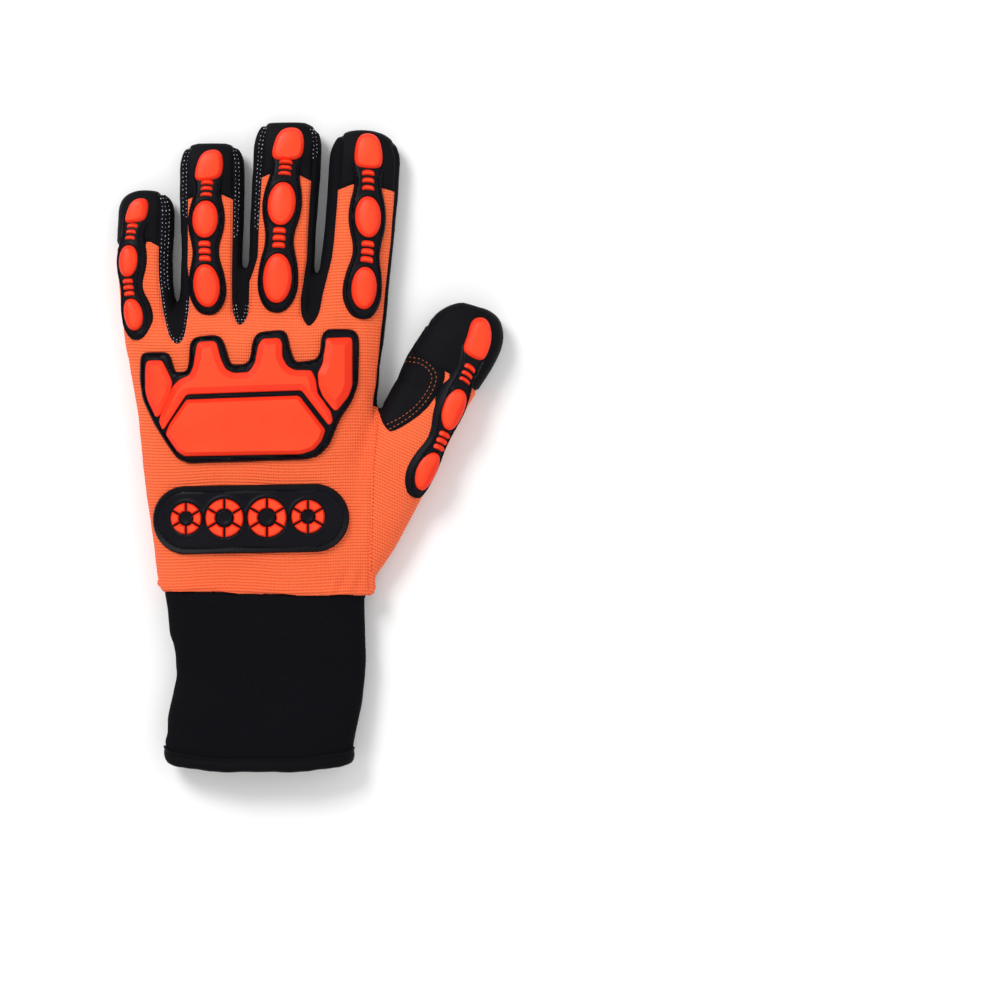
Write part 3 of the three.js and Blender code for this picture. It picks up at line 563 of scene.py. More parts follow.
FINGER_SECTIONS = (
    (-0.13, -0.06, 0.9, 0.0),
    (0.0, 0.0, 1.0, 0.0),
    (0.22, -0.025, 0.99, 0.01),
    (0.42, -0.035, 0.98, 0.045),
    (0.76, 0.0, 0.94, 0.0),
)
THUMB_SECTIONS = (
    (-0.04, -0.04, 0.74, 0.1),
    (0.12, 0.08, 0.88, 0.07),
    (0.3, 0.09, 0.97, 0.02),
    (0.5, 0.04, 1.0, 0.01),
    (0.63, 0.0, 0.96, 0.02),
    (0.75, 0.0, 0.94, 0.0),
)
TIP_SECTIONS = ((0.8, 1.0, 0.94), (0.36, 0.93, 0.83), (0.09, 0.73, 0.62), (0.0, 0.46, 0.34))
HAND_SECTIONS = np.array(
    [
        (0.0, -0.406, 0.446, 0.86, 1.0),
        (0.18, -0.428, 0.447, 0.9, 0.7),
        (0.33, -0.45, 0.448, 0.95, 0.2),
        (0.48, -0.471, 0.449, 0.98, 0.0),
        (0.65, -0.49, 0.451, 1.0, 0.0),
        (0.8, -0.514, 0.463, 1.0, 0.0),
        (0.93, -0.533, 0.474, 0.98, 0.0),
        (0.987, -0.537, 0.478, 0.9, 0.0),
        (1.025, -0.53, 0.474, 0.77, 0.0),
        (1.058, -0.515, 0.463, 0.5, 0.0),
    ]
)
LITTLE = Finger(
    "little", 69, 25.6, 15.5, -0.439, 0.938, 0, 0.98,
    ((-0.2, 0.06), (0, 0.012), (0.53, -0.04), (1, -0.029)),
    64, 13.6, 3, (-26, -37, -33), (-1.6, 0.54), 0.65, 0.3, 1.8,
)
RING = Finger(
    "ring", 88, 29.2, 16.5, -0.2088, 0.954, 0, 0.95,
    ((-0.16, 0), (0, 0), (0.48, 0.011), (1, 0.014)),
    74.5, 17, 3.2, (-6, -12, 0), (-0.73, 0.7), 0.735,
)
MIDDLE = Finger(
    "middle", 97.5, 30.5, 17.5, 0.0592, 0.954, 0, 0.997,
    ((-0.15, -0.007), (0, 0.0038), (0.3, 0.0178), (0.51, 0.026), (1, 0.056)),
    83.5, 18.4, 2.7, (5, -3, -5), (-0.7, 0.8), 0.76,
)
INDEX = Finger(
    "index", 94, 32, 17.5, 0.3377, 0.954, 0, 1.053,
    ((-0.15, -0.0276), (0, -0.0073), (0.3, 0.032), (0.45, 0.0515), (1, 0.09)),
    83, 17.2, 1.8, (3, 15, 26), (-0.69, 0.8), 0.727, 1.0, 2.0,
)
THUMB = Finger(
    "thumb", 127, 35.4, 19.5, 0.3474, 0.1176, 24.95, 0.8,
    ((-0.07, -0.005), (0.314, 0.0025), (0.531, 0.007), (0.73, 0.016), (0.875, 0.034), (1, 0)),
    84.5, 12.7, 4.6, (30, 53, 59), (-1.6, 1.6), 0.742, 0.0, 2.1,
)
FINGERS = (LITTLE, RING, MIDDLE, INDEX, THUMB)
WEBS = (
    (
        LITTLE, RING,
        (
            (190, 284), (189.5, 302), (188.5, 318), (187, 334), (183.8, 342), (179.4, 345.5),
            (174.8, 342.5), (170.8, 336), (166, 319), (163, 300), (161, 282),
        ),
    ),
    (
        RING, MIDDLE,
        (
            (249.5, 282), (249, 300), (248.6, 313), (246.5, 321), (241.3, 326.5), (236.3, 320),
            (233.6, 308), (233.4, 282),
        ),
    ),
    (
        MIDDLE, INDEX,
        (
            (322.5, 295), (320, 309), (317, 320), (310.4, 327.5), (305.4, 322), (302.4, 315), (302, 300),
        ),
    ),
)
GAP_LINE = ((0.457, 0.7), (0.478, 0.785), (0.513, 0.886), (0.58, 1.02), (0.58, 2))
THUMB_SEAM = ((0.447, 0.7016), (0.45, 0.61), (0.4386, 0.496), (0.434, 0.35), (0.426, 0.08), (0.426, -0.1))
PALM_SEAM = ((0.347, 0.6), (0.304, 0.458), (0.276, 0.269), (0.268, 0.118), (0.268, -0.1))
SADDLE = (
    (0.478, 0.785), (0.513, 0.886), (0.56, 0.96), (0.72, 0.93), (0.725, 0.829), (0.722, 0.79),
    (0.695, 0.742), (0.644, 0.677), (0.565, 0.624), (0.517, 0.602), (0.497, 0.606), (0.466, 0.647),
    (0.457, 0.7),
)


def on_hand(rows: Outline) -> list[tuple[float, float]]:
    """Places in plan from shares of the hand's width and the palm's length."""
    return [(across * HAND_WIDTH, WRIST_Y + along * PALM_LENGTH) for across, along in rows]


def hand_box(y: Array, grow: Array | float = 0.0) -> tuple[Array, Array, Array, Array]:
    """Left, right, lowest and highest edge of the hand at places along it.

    Args:
        y: Places along the hand.
        grow: How far the skin is moved outwards.

    Returns:
        The four edges at each place.
    """
    along = (np.asarray(y, float) - WRIST_Y) / PALM_LENGTH
    left, right, depth, lift = (cubic(along, HAND_SECTIONS[:, 0], HAND_SECTIONS[:, k]) for k in (1, 2, 3, 4))
    low = lift * TAB_ROOM
    return left * HAND_WIDTH - grow, right * HAND_WIDTH + grow, low - grow, low + depth * HAND_DEPTH + grow


class Folds:
    """Creases and swells of the cloth, as soft ridges and valleys laid over the form."""

    RIDGES = np.array(
        [
            # x, y, heading, half length, half width, height, side
            (-37, 57, 78, 11, 2.6, 0.5, 1),
            (-30, 51, 96, 12, 2.2, -0.4, 1),
            (-9, 60.5, 86, 12, 2.4, 0.4, 1),
            (22, 61, 92, 13, 2.6, 0.45, 1),
            (2, 55.5, 90, 15, 2.2, -0.35, 1),
            (-47, 38, 12, 16, 3.2, 0.4, 1),
            (-57, 20, 6, 18, 3.0, -0.45, 1),
            (46, 44, -8, 15, 3.0, 0.5, 1),
            (49, 28, -20, 14, 2.6, -0.5, 1),
            (47, 6, 20, 18, 3.4, -0.6, 1),
            (52, -8, 28, 17, 3.6, 0.7, 1),
            (43, -26, 14, 17, 3.2, -0.55, 1),
            (-47, -22, -6, 16, 3.4, 0.45, 1),
            (10, -4, 88, 26, 2.6, 0.35, 1),
            (-18, -2, 94, 20, 2.4, -0.3, 1),
            (-12, -53, 90, 30, 3.2, -0.35, 1),
            (22, -55, 92, 22, 2.8, 0.35, 1),
            (33, -60, 16, 6, 1.0, 0.55, 1),
            (37, -59, 22, 7, 1.1, -0.6, 1),
            (41, -59, 18, 6, 1.1, 0.6, 1),
            (45, -57, 12, 8, 1.3, -0.6, 1),
            (67, 28, 118, 12, 2.4, -0.55, 1),
            (73, 38, 116, 12, 2.6, 0.5, 1),
            (58, 8, 60, 15, 3.0, -0.5, 1),
            (50, 12, 36, 20, 3.2, -0.8, -1),
            (58, 20, 58, 16, 3.0, 0.6, -1),
            (30, 44, 100, 24, 3.0, -0.5, -1),
            (-24, 30, 82, 26, 3.2, -0.5, -1),
            (-40, -4, 20, 26, 3.4, -0.5, -1),
            (66, 30, 116, 13, 2.4, -0.6, -1),
        ],
        float,
    )

    def height(self, points: Array, normals: Array) -> Array:
        """How far each point moves along its normal.

        Args:
            points: Points of the body.
            normals: Their unit normals.

        Returns:
            Signed distances in millimetres.
        """
        x, y, z = points.T
        total = 0.16 * np.sin(x / 7.3 + 0.6 * np.sin(y / 11)) * np.sin(y / 8.9 + 0.8)
        total += 0.1 * np.sin(x / 3.9 - y / 5.3) * np.sin(y / 4.7 + z / 6)
        for px, py, heading, length, width, size, side in self.RIDGES:
            turn = math.radians(heading)
            dx, dy = x - px, y - py
            ahead = dx * math.sin(turn) + dy * math.cos(turn)
            aside = dx * math.cos(turn) - dy * math.sin(turn)
            aside = aside + 0.06 * ahead**2 / length
            facing = np.clip(normals[:, 2] * side * 1.5 + 0.4, 0, 1)
            total += size * bell(aside, width) * bell(ahead, length) * facing
        return total


# Left side, right side and end of each web block, and the middles of the crotches between the fingers
WEB_BLOCKS = ((-10.5, -3.9, 81.0), (20.5, 28.0, 78.0))
CROTCHES = ((-37, 64), (-8, 82), (24, 75), (51, 20), (60, 32))


class GloveBody:
    """The closed form of hand and fingers, from which the cloth panels are cut."""

    def lofts(self) -> Net:
        """The hand's and the fingers' closed tubes, laid through each other.

        Returns:
            All tubes as one mesh.
        """
        rows = np.linspace(WRIST_Y - 4, WRIST_Y + HAND_SECTIONS[-1, 0] * PALM_LENGTH, 90)
        rings = []
        for y, *box in zip(rows, *hand_box(rows)):
            ring = section(*box, HAND_POWER, HAND_SIDES)
            rings.append(np.stack([ring[:, 0], np.full(HAND_SIDES, y), ring[:, 1]], 1))
        tubes = [rings]
        for finger in FINGERS:
            blunt = TIP_START * finger.width / 2
            first = (THUMB_SECTIONS if finger is THUMB else FINGER_SECTIONS)[0][0] * finger.length
            body = np.linspace(first, finger.length - blunt, 60)
            tip = finger.length - blunt * (1 - np.linspace(0, 1, 18)[1:]) ** 2
            at = np.concatenate([body, tip])
            place, aside = finger.spine(at)
            rings = []
            for p, a, half, low, high in zip(place, aside, *finger.profile(at)):
                ring = section(-half, half, low, high, FINGER_POWER, FINGER_SIDES)
                rings.append(np.column_stack([p + ring[:, :1] * a, ring[:, 1]]))
            tubes.append(rings)
        for left, right, end in WEB_BLOCKS:
            x, z = section(left, right, *WEB_BLOCK_HEIGHTS, 2.0, FINGER_SIDES).T
            tubes.append([np.column_stack([x, np.full(FINGER_SIDES, y), z]) for y in (WEB_BLOCK_START, end)])
        return self.capped(tubes)

    def capped(self, tubes: Sequence[Sequence[Array]]) -> Net:
        """Joins the rings of each tube, and shuts its two ends with fans.

        Args:
            tubes: For each tube its rings in order.

        Returns:
            All tubes as one mesh.
        """
        points, faces, start = [], [], 0
        for rings in tubes:
            count = len(rings[0])
            layers = np.arange(len(rings) - 1)[:, None] * count
            i = np.arange(count)[None]
            a = (start + layers + i).ravel()
            b = (start + layers + (i + 1) % count).ravel()
            middle = start + len(rings) * count
            faces += [np.stack([a, b, b + count], 1), np.stack([a, b + count, a + count], 1)]
            i = np.arange(count)
            last = start + (len(rings) - 1) * count
            faces.append(np.stack([start + (i + 1) % count, start + i, np.full(count, middle)], 1))
            faces.append(np.stack([last + i, last + (i + 1) % count, np.full(count, middle + 1)], 1))
            points += [*rings, rings[0].mean(0, keepdims=True), rings[-1].mean(0, keepdims=True)]
            start = middle + 2
        return Net(np.concatenate(points), np.concatenate(faces)[:, ::-1])

    def build(self) -> Net:
        """Welds the tubes into one smooth skin, open at the wrist, with its folds.

        Returns:
            The skin.
        """
        piece = make_mesh("glove_form", self.lofts(), None)
        remesh = piece.modifiers.new("weld", "REMESH")
        remesh.mode = "VOXEL"
        remesh.voxel_size = BODY_CELL * MM
        welded = piece.evaluated_get(bpy.context.evaluated_depsgraph_get()).to_mesh()
        welded.calc_loop_triangles()
        points = np.zeros(len(welded.vertices) * 3)
        welded.vertices.foreach_get("co", points)
        faces = np.zeros(len(welded.loop_triangles) * 3, int)
        welded.loop_triangles.foreach_get("vertices", faces)
        net = Net(points.reshape(-1, 3) / MM, faces.reshape(-1, 3))
        bpy.data.objects.remove(piece)
        net.smoothed(8)
        crotches = np.min([np.hypot(net.points[:, 0] - x, net.points[:, 1] - y) for x, y in CROTCHES], 0)
        net.smoothed(14, 0.5 * bell(crotches, CROTCH_REACH))
        normals = net.normals()
        over = net.points[:, 1] - hem_line(net.points)
        roll = 0.2 * bell(over - 1.6, 1.0) - 0.12 * bell(over - 4.2, 0.9) - 0.8 * bell(over, 0.8)
        net.points += normals * (Folds().height(net.points, normals) + roll)[:, None]
        net, above, _ = net.cut(net.points[:, 1] - hem_line(net.points))
        return net.pick(above)


def hem_line(points: Array) -> Array:
    """How far down the hand's hem lies at points: lower beside the thumb, rounded at both corners.

    Args:
        points: Points of the skin.

    Returns:
        The hem's place along the hand at each.
    """
    x = points[:, 0]
    left, right, _, _ = hand_box(np.full(len(points), WRIST_Y))
    corner = np.clip(1 - np.minimum(x - left, right - x) / 2.2, 0, 1)
    return WRIST_Y + 0.3 - 1.7 * ease(x, -35, 30) + 0.25 * np.sin(x / 4.7) + 1.5 * corner**2


def depth_below_seam(points: Array) -> Array:
    """How far points lie below the seam between palm and back."""
    lift = cubic((points[:, 1] - WRIST_Y) / PALM_LENGTH, HAND_SECTIONS[:, 0], HAND_SECTIONS[:, 4])
    return SEAM_HEIGHT + lift * TAB_ROOM - points[:, 2]


def web_field(web: tuple[Finger, Finger, Outline]) -> Callable[[Array], Array]:
    """Where the side wall between two fingers lies, as a function of points.

    Args:
        web: The two fingers, and the outline of the crotch between them.

    Returns:
        The field, positive inside the wall.
    """
    left, right, crotch = web
    low_end = softened(from_back(crotch), 2, False)

    def outline(low: float, high: float, narrow: float) -> list[tuple[float, float]]:
        """The web in plan between shares of the two half widths.

        Args:
            low: Share of the left finger's.
            high: Share of the right finger's.
            narrow: How far the crotch is widened.

        Returns:
            The outline.
        """
        first, second = left.line(low, 0.37, 1.04, 9), right.line(high, 0.37, 1.04, 9)[::-1]
        middle = (first[-1][0] + second[0][0]) / 2
        foot = low_end + (np.mean(low_end, 0) - low_end) * narrow
        return [*foot, *first, (middle, first[-1][1]), (middle, second[0][1]), *second]

    upper, foot = outline(left.strip[1], right.strip[0], 0), outline(WALL_FOOT, -WALL_FOOT, -0.2)
    return lambda p: np.maximum(inside_by(p, upper), np.minimum(inside_by(p, foot), WEB_HEIGHT - p[:, 2]))


def palm_field(points: Array) -> Array:
    """Where the palm panel lies.

    Args:
        points: Points of the skin.

    Returns:
        A value for each point, positive inside.
    """
    along = [y for _, y in on_hand([(0, share) for share in np.linspace(0, 0.85, 9)])]
    edge = [(hand_box(np.array([y]))[0][0] + SEAM_WRAP, y) for y in along]
    edge[0] = (edge[0][0], edge[0][1] - BELOW_WRIST)
    little = LITTLE.line(-1 + SEAM_WRAP / (LITTLE.width / 2), 0.02, 0.5)
    out = [(-FAR, little[-1][1]), (-FAR, FAR)]
    gap = on_hand(GAP_LINE)
    outline = [*edge, *little, *out, *gap[::-1], *on_hand(PALM_SEAM)]
    beyond, rim = gap[:0:-1], np.array(gap[:4])
    parts = (
        (outline, depth_below_seam(points)),
        ([*INDEX.line(0.8, 0.02, 1.2), *beyond], INDEX_WRAP_HEIGHT - points[:, 2]),
        ([*INDEX.line(WALL_FOOT, 0.02, 1.2), *beyond], WEB_HEIGHT - points[:, 2]),
        ([*(rim - (4.5, 0)), *(rim[::-1] + (9, 0))], INDEX_WRAP_HEIGHT - points[:, 2]),
    )
    return np.max([np.minimum(inside_by(points, border), height) for border, height in parts], 0)


def thumb_palm_field(points: Array) -> Array:
    """Where the thumb's own palm piece lies.

    Args:
        points: Points of the skin.

    Returns:
        A value for each point, positive inside.
    """
    share = 1 - SEAM_WRAP / (THUMB.width / 2)
    start = (hand_box(np.array([WRIST_Y]))[1][0] - SEAM_WRAP, WRIST_Y - BELOW_WRIST)
    gap = on_hand([(0.58, 1.4), *GAP_LINE[-2::-1], (0.2, 0.65), (0.2, -0.1)])
    outline = [start, *THUMB.line(share, -0.02, THUMB.cap), *THUMB.line(2, THUMB.cap, 1.2, 1), *gap]
    return np.minimum(depth_below_seam(points), inside_by(points, outline))


def thumb_back_field(points: Array) -> Array:
    """Where the knit back of the thumb lies.

    Args:
        points: Points of the skin.

    Returns:
        A value for each point, positive inside.
    """
    seam = on_hand(THUMB_SEAM)
    outside = [(HAND_WIDTH, WRIST_Y - BELOW_WRIST), (HAND_WIDTH, FAR), *on_hand(GAP_LINE)[:0:-1]]
    foot = [(x - THUMB_FOOT, y) for x, y in seam]
    low = WEB_HEIGHT + TAB_ROOM - points[:, 2]
    base = np.minimum(inside_by(points, [*foot, outside[0], on_hand(GAP_LINE)[0]]), low)
    return np.maximum(inside_by(points, [*seam, *outside]), base)


def cap_field(finger: Finger) -> Callable[[Array], Array]:
    """Where a fingertip's cap lies, as a function of points.

    Args:
        finger: The finger.

    Returns:
        The field, positive inside the cap.
    """
    left, right = finger.strip[0] - 0.12, 1.6 if finger is INDEX else finger.strip[1] + 0.12
    drop = 0.0 if finger is THUMB else 0.035
    crown = [finger.line(share, finger.cap + 0.006, 1, 1)[0] for share in (0.25, -0.25)]
    left_side, right_side = (finger.line(share, finger.cap - drop, 1.08) for share in (left, right))
    outline = [*crown, *left_side, *right_side[::-1]]
    return lambda points: inside_by(points, outline)


class Cloth(Enum):
    """The cloths that the hand is sewn from."""

    KNIT = "knit"
    LEATHER = "palm_leather"
    STRETCH = "fourchette_cloth"


@dataclass
class Panels:
    """The sewn panels of the hand, cut from the body along their seams."""

    body: Net
    seam_depth: float = 0.75
    seam_width: float = 1.0
    made: dict[str, Net] = field(default_factory=dict)

    def plan(self) -> list[tuple[str, Cloth, Callable[[Array], Array]]]:
        """Each panel's name, cloth and place, in the order in which they are cut out.

        Returns:
            One row for each panel but the last.
        """
        webs = [(f"fourchette_{w[0].name}_{w[1].name}", Cloth.STRETCH, web_field(w)) for w in WEBS]
        caps = [(f"{finger.name}_cap", Cloth.LEATHER, cap_field(finger)) for finger in FINGERS]
        saddle = softened(on_hand(SADDLE), 1)
        return [
            ("palm_panel", Cloth.LEATHER, palm_field),
            ("thumb_palm", Cloth.LEATHER, thumb_palm_field),
            *webs,
            *caps,
            ("thumb_saddle", Cloth.LEATHER, lambda p: inside_by(p, saddle)),
            ("thumb_back", Cloth.KNIT, thumb_back_field),
        ]

    def build(self, finishes: Materials) -> None:
        """Cuts out every panel and gives it its wall.

        Args:
            finishes: Materials by slot.
        """
        rest = self.body
        rest.carried["rib"] = rest.points[:, 1] + 0.5 * np.sin(rest.points[:, 0] / 9)
        ahead = np.array([math.sin(math.radians(THUMB.heading)), math.cos(math.radians(THUMB.heading))])
        rest.carried["thumb_rib"] = rest.points[:, :2] @ ahead
        for axis, label in enumerate(("nx", "ny", "nz")):
            rest.carried[label] = rest.normals()[:, axis]
        for name, cloth, place in self.plan():
            split, within, _ = rest.cut(place(rest.points))
            self.finish(name, cloth, split.pick(within), finishes)
            rest = split.pick(~within)
        self.finish("back_panel", Cloth.KNIT, rest, finishes)

    def finish(self, name: str, cloth: Cloth, net: Net, finishes: Materials) -> None:
        """Rolls a panel's edges into its seams, thickens it and dresses it.

        Args:
            name: The panel's name.
            cloth: What it is sewn from.
            net: Its outer skin.
            finishes: Materials by slot.
        """
        normals = np.stack([net.carried.pop(label) for label in ("nx", "ny", "nz")], 1)
        normals /= np.linalg.norm(normals, axis=1, keepdims=True)
        away = self.from_seam(net)
        move = -self.seam_depth * bell(away, self.seam_width) + 0.12 * bell(away - 2.2, 1.0)
        if name in ("palm_panel", "thumb_palm"):
            for row in PALM_ROWS:
                near = distance_to(net.points[:, :2], from_palm(row))
                move -= 0.4 * bell(near, 1.1) * (normals[:, 2] < -0.3)
        move += 0.3 * ease(-net.points[:, 1], -WRIST_Y - 5.0, -WRIST_Y - 4.2)
        net.points = net.points + normals * move[:, None]
        if name == "thumb_back":
            net.carried["rib"] = net.carried["thumb_rib"]
        del net.carried["thumb_rib"]
        self.made[name] = net
        solid = closed(net, net.points - normals * CLOTH)
        add(f"{name}_cloth", solid, finishes, cloth.value, name, 50)

    def from_seam(self, net: Net) -> Array:
        """Distance from each point of a panel to its nearest edge, apart from the hem at the wrist.

        Args:
            net: The panel's skin.

        Returns:
            One distance for each point.
        """
        edge = np.unique(net.rim())
        edge = edge[net.points[edge, 1] > WRIST_Y + 0.6]
        tree = KDTree(len(edge))
        for i, point in enumerate(net.points[edge]):
            tree.insert(Vector(point), i)
        tree.balance()
        return np.array([tree.find(Vector(point))[2] for point in net.points])


def distance_to(points: Array, line: Array) -> Array:
    """Distance in plan from points to an open line.

    Args:
        points: Rows of x and y.
        line: Corners in order.

    Returns:
        One distance for each point.
    """
    nearest = np.full(len(points), np.inf)
    for a, b in zip(line[:-1], line[1:]):
        run = b - a
        t = np.clip((points - a) @ run / max(run @ run, 1e-9), 0, 1)
        nearest = np.minimum(nearest, np.linalg.norm(points - a - t[:, None] * run, axis=1))
    return nearest


PALM_ROWS = (
    (
        (598, 360), (597, 380), (595, 400), (596, 430), (598, 470), (604, 500), (612, 517), (632, 534),
        (663, 541), (700, 547), (748, 549),
    ),
    (
        (662, 350), (660, 400), (662, 420), (667, 455), (670, 465), (676, 475), (688, 482), (725, 489),
        (749, 492),
    ),
    ((724, 352), (722, 395), (723, 415), (735, 431), (748, 437), (763, 441)),
    ((552, 402), (597, 382), (630, 375), (663, 373), (700, 371), (752, 373)),
    ((561, 456), (597, 436), (630, 426), (662, 422), (724, 420), (768, 426)),
    (
        (597, 588), (595, 560), (595, 540), (598, 520), (608, 500), (622, 485), (640, 475), (667, 466),
        (720, 457), (757, 457),
    ),
    ((640, 582), (650, 563), (664, 540), (675, 530), (690, 524), (749, 522)),
    ((768, 432), (761, 450), (752, 480), (750, 510), (749, 550), (747, 565)),
    ((778, 335), (767, 360), (757, 380), (757, 390), (770, 412)),
    ((788, 424), (800, 415), (812, 405), (820, 396)),
)


# Moulded guards
class Chart:
    """A flat map laid on the skin, on which guards are drawn before they are raised."""

    def lift(self, flat: Array, height: Array) -> Array:
        """Carries points of the map to their height above the skin."""
        raise NotImplementedError


class BackChart(Chart):
    """The back of the hand, seen straight from above."""

    def lift(self, flat: Array, height: Array) -> Array:
        """Carries points of the map to their height above the skin.

        Args:
            flat: Places in plan.
            height: Height above the skin at each.

        Returns:
            Points in space.
        """
        x, y = flat[:, 0], flat[:, 1]
        left, right, low, high = hand_box(y, height)
        base = low + SIDE_LINE * (high - low)
        share = np.clip(np.abs(x - (left + right) / 2) / ((right - left) / 2), 0, 0.985)
        return np.stack([x, y, base + (high - base) * (1 - share**HAND_POWER) ** (1 / HAND_POWER)], 1)


@dataclass
class FingerChart(Chart):
    """The back of a finger along its guard: across from the middle, and down from the guard's tip end."""

    finger: Finger

    def lift(self, flat: Array, height: Array) -> Array:
        """Carries points of the map to their height above the skin.

        Args:
            flat: Places across and down the guard.
            height: Height above the skin at each.

        Returns:
            Points in space.
        """
        finger = self.finger
        aside, down = flat[:, 0], flat[:, 1]
        share = np.clip(down / finger.guard_length, 0, 1)
        turn = np.radians(cubic(share, np.array([0, 0.5, 1]), np.array(finger.roll, float)))
        distance = finger.length - finger.inset - down
        place, right = finger.spine(distance)
        half, low, high = finger.profile(distance, height)
        start_x = finger.beside + aside * np.cos(turn)
        start_z = SIDE_LINE * finger.depth - aside * np.sin(turn)

        def at(reach: Array) -> Array:
            """Points at a reach along the rolled direction."""
            x, z = start_x + reach * np.sin(turn), start_z + reach * np.cos(turn)
            return np.column_stack([place + x[:, None] * right, z])

        def beyond(reach: Array) -> Array:
            """Whether a reach lies outside both finger and hand.

            Args:
                reach: The reach at each place.

            Returns:
                One answer for each place.
            """
            x, z = start_x + reach * np.sin(turn), start_z + reach * np.cos(turn)
            out = depth_in_section(x, z, (-half, half, low, high), FINGER_POWER) > 1
            world = at(reach)
            inside_hand = depth_in_section(world[:, 0], z, hand_box(world[:, 1], height), HAND_POWER) < 1
            return out & ~(inside_hand & (world[:, 1] < WRIST_Y + 1.05 * PALM_LENGTH))

        near, far = np.zeros(len(flat)), np.full(len(flat), 2.2 * finger.depth)
        for _ in range(26):
            middle = (near + far) / 2
            out = beyond(middle)
            near, far = np.where(out, near, middle), np.where(out, middle, far)
        return at((near + far) / 2)


@dataclass(frozen=True)
class Pad:
    """A raised pad on a guard: its outline, how high it stands, and its edge."""

    outline: Outline
    foot: float
    top: float
    edge: float
    dome: float = 0.0
    round_edge: float = 0.35

    def build(self, chart: Chart, cell: float) -> Net:
        """The pad's closed mesh on a chart.

        Args:
            chart: The chart.
            cell: Spacing of its net.

        Returns:
            The mesh.
        """
        flat, inside = patch(self.outline, cell, (self.round_edge, self.edge))
        crown = np.clip(inside / max(inside.max(), 1e-6), 0, 1)
        shoulder = np.sqrt(np.clip(1 - (1 - np.clip(inside / self.round_edge, 0, 1)) ** 2, 0, 1))
        rise = (self.top - self.foot) * 0.55
        height = self.top - rise + (rise - 0.35) * np.clip(inside / self.edge, 0, 1) + 0.35 * shoulder
        height += self.dome * (1 - (1 - crown) ** 2)
        plan = flat.points[:, :2]
        flat.points = chart.lift(plan, height)
        return closed(flat, chart.lift(plan, np.full(len(plan), self.foot)))


def joined(nets: Iterable[Net]) -> Net:
    """Several meshes as one.

    Args:
        nets: The meshes.

    Returns:
        One mesh, without their carried values.
    """
    nets = list(nets)
    starts = np.cumsum([0, *[len(net.points) for net in nets[:-1]]])
    faces = np.concatenate([net.faces + start for net, start in zip(nets, starts)])
    return Net(np.concatenate([net.points for net in nets]), faces)


def turned_out(net: Net) -> Net:
    """The mesh with its faces pointing outwards, whichever way its chart runs.

    Args:
        net: A closed mesh, or a tube.

    Returns:
        The mesh, turned where it has to be.
    """
    a, b, c = (net.points[net.faces[:, k]] for k in range(3))
    volume = np.einsum("ij,ij->i", a, np.cross(b, c)).sum()
    return net if volume > 0 else Net(net.points, net.faces[:, ::-1], net.carried)


def left_of(ahead: Array) -> Array:
    """Unit directions to the left of directions in plan."""
    size = np.maximum(np.linalg.norm(ahead, axis=1, keepdims=True), 1e-9)
    return np.stack([-ahead[:, 1], ahead[:, 0]], 1) / size


def inset_line(outline: Array, inside: float, reach: int) -> Array:
    """A closed outline drawn inwards, corner by corner.

    Args:
        outline: Corners in order.
        inside: How far it moves.
        reach: How many corners ahead and back its direction is measured over.

    Returns:
        The moved corners, which may cross where the outline turns sharply.
    """
    side = left_of(np.roll(outline, -reach, 0) - np.roll(outline, reach, 0))
    x, y = outline.T
    area = np.sum(x * np.roll(y, -1) - np.roll(x, -1) * y)
    return outline + side * inside * np.sign(area)


@dataclass
class Plate:
    """A black moulded plate with a lip round its edge, a stitched groove and sockets for its pads."""

    outline: Outline
    chart: Chart
    top: float = 2.0
    lip: float = 0.35
    groove: float = 1.9
    sockets: Sequence[tuple[Outline, float]] = ()
    extra: Callable[[Array], Array] | None = None

    def height(self, flat: Array, inside: Array) -> Array:
        """Height of the plate over the skin at places in the map.

        Args:
            flat: Places in the map.
            inside: Each one's distance from the outline.

        Returns:
            One height for each.
        """
        edge = np.clip(inside / 0.7, 0, 1)
        rise = self.top * (0.35 + 0.65 * np.sqrt(1 - (1 - edge) ** 2))
        rise += self.lip * bell(inside - 0.75, 0.4)
        rise -= 0.55 * bell(inside - self.groove, 0.38)
        for outline, lip in self.sockets:
            away = -inside_by(flat, outline)
            rise += lip * bell(away - 0.6, 0.38) - 0.25 * bell(away - 0.05, 0.25)
        return rise + (self.extra(flat) if self.extra else 0)

    def build(self, cell: float) -> Net:
        """The plate's closed mesh.

        Args:
            cell: Spacing of its net.

        Returns:
            The mesh.
        """
        flat, inside = patch(self.outline, cell, (0.3, 0.75))
        plan = flat.points[:, :2]
        flat.points = self.chart.lift(plan, self.height(plan, inside))
        return closed(flat, self.chart.lift(plan, np.full(len(plan), -0.9)))

    def seam(self, step: float) -> tuple[Array, Array]:
        """Places for stitches in the groove, and points just above them.

        Args:
            step: Spacing of the stitches.

        Returns:
            The places, and the points above them.
        """
        line = inset_line(spaced(softened(self.outline, 2), 0.4, True), self.groove, 3)
        line = line[inside_by(line, self.outline) > self.groove - 0.35]
        line = spaced(line, step, True)
        low = self.height(line, np.full(len(line), self.groove))
        return self.chart.lift(line, low), self.chart.lift(line, low + 1)


PLATE_OUTLINE = (
    (-0.03, 0.3), (-0.015, 0.62), (0.03, 0.84), (0.1, 0.95), (0.16, 0.92), (0.215, 0.76), (0.26, 0.68),
    (0.31, 0.75), (0.37, 0.91), (0.435, 0.98), (0.5, 0.92), (0.56, 0.76), (0.615, 0.68), (0.67, 0.74),
    (0.73, 0.9), (0.81, 1.0), (0.88, 0.98), (0.94, 0.8), (0.985, 0.5), (1.0, 0.2),
)
TIP_SHAPE = (
    (0.0, 0.0), (0.4, 0.04), (0.68, 0.2), (0.84, 0.5), (0.86, 0.84), (0.66, 0.99), (0.0, 1.02),
    (-0.62, 0.99), (-0.82, 0.82), (-0.8, 0.5), (-0.68, 0.2), (-0.4, 0.04),
)


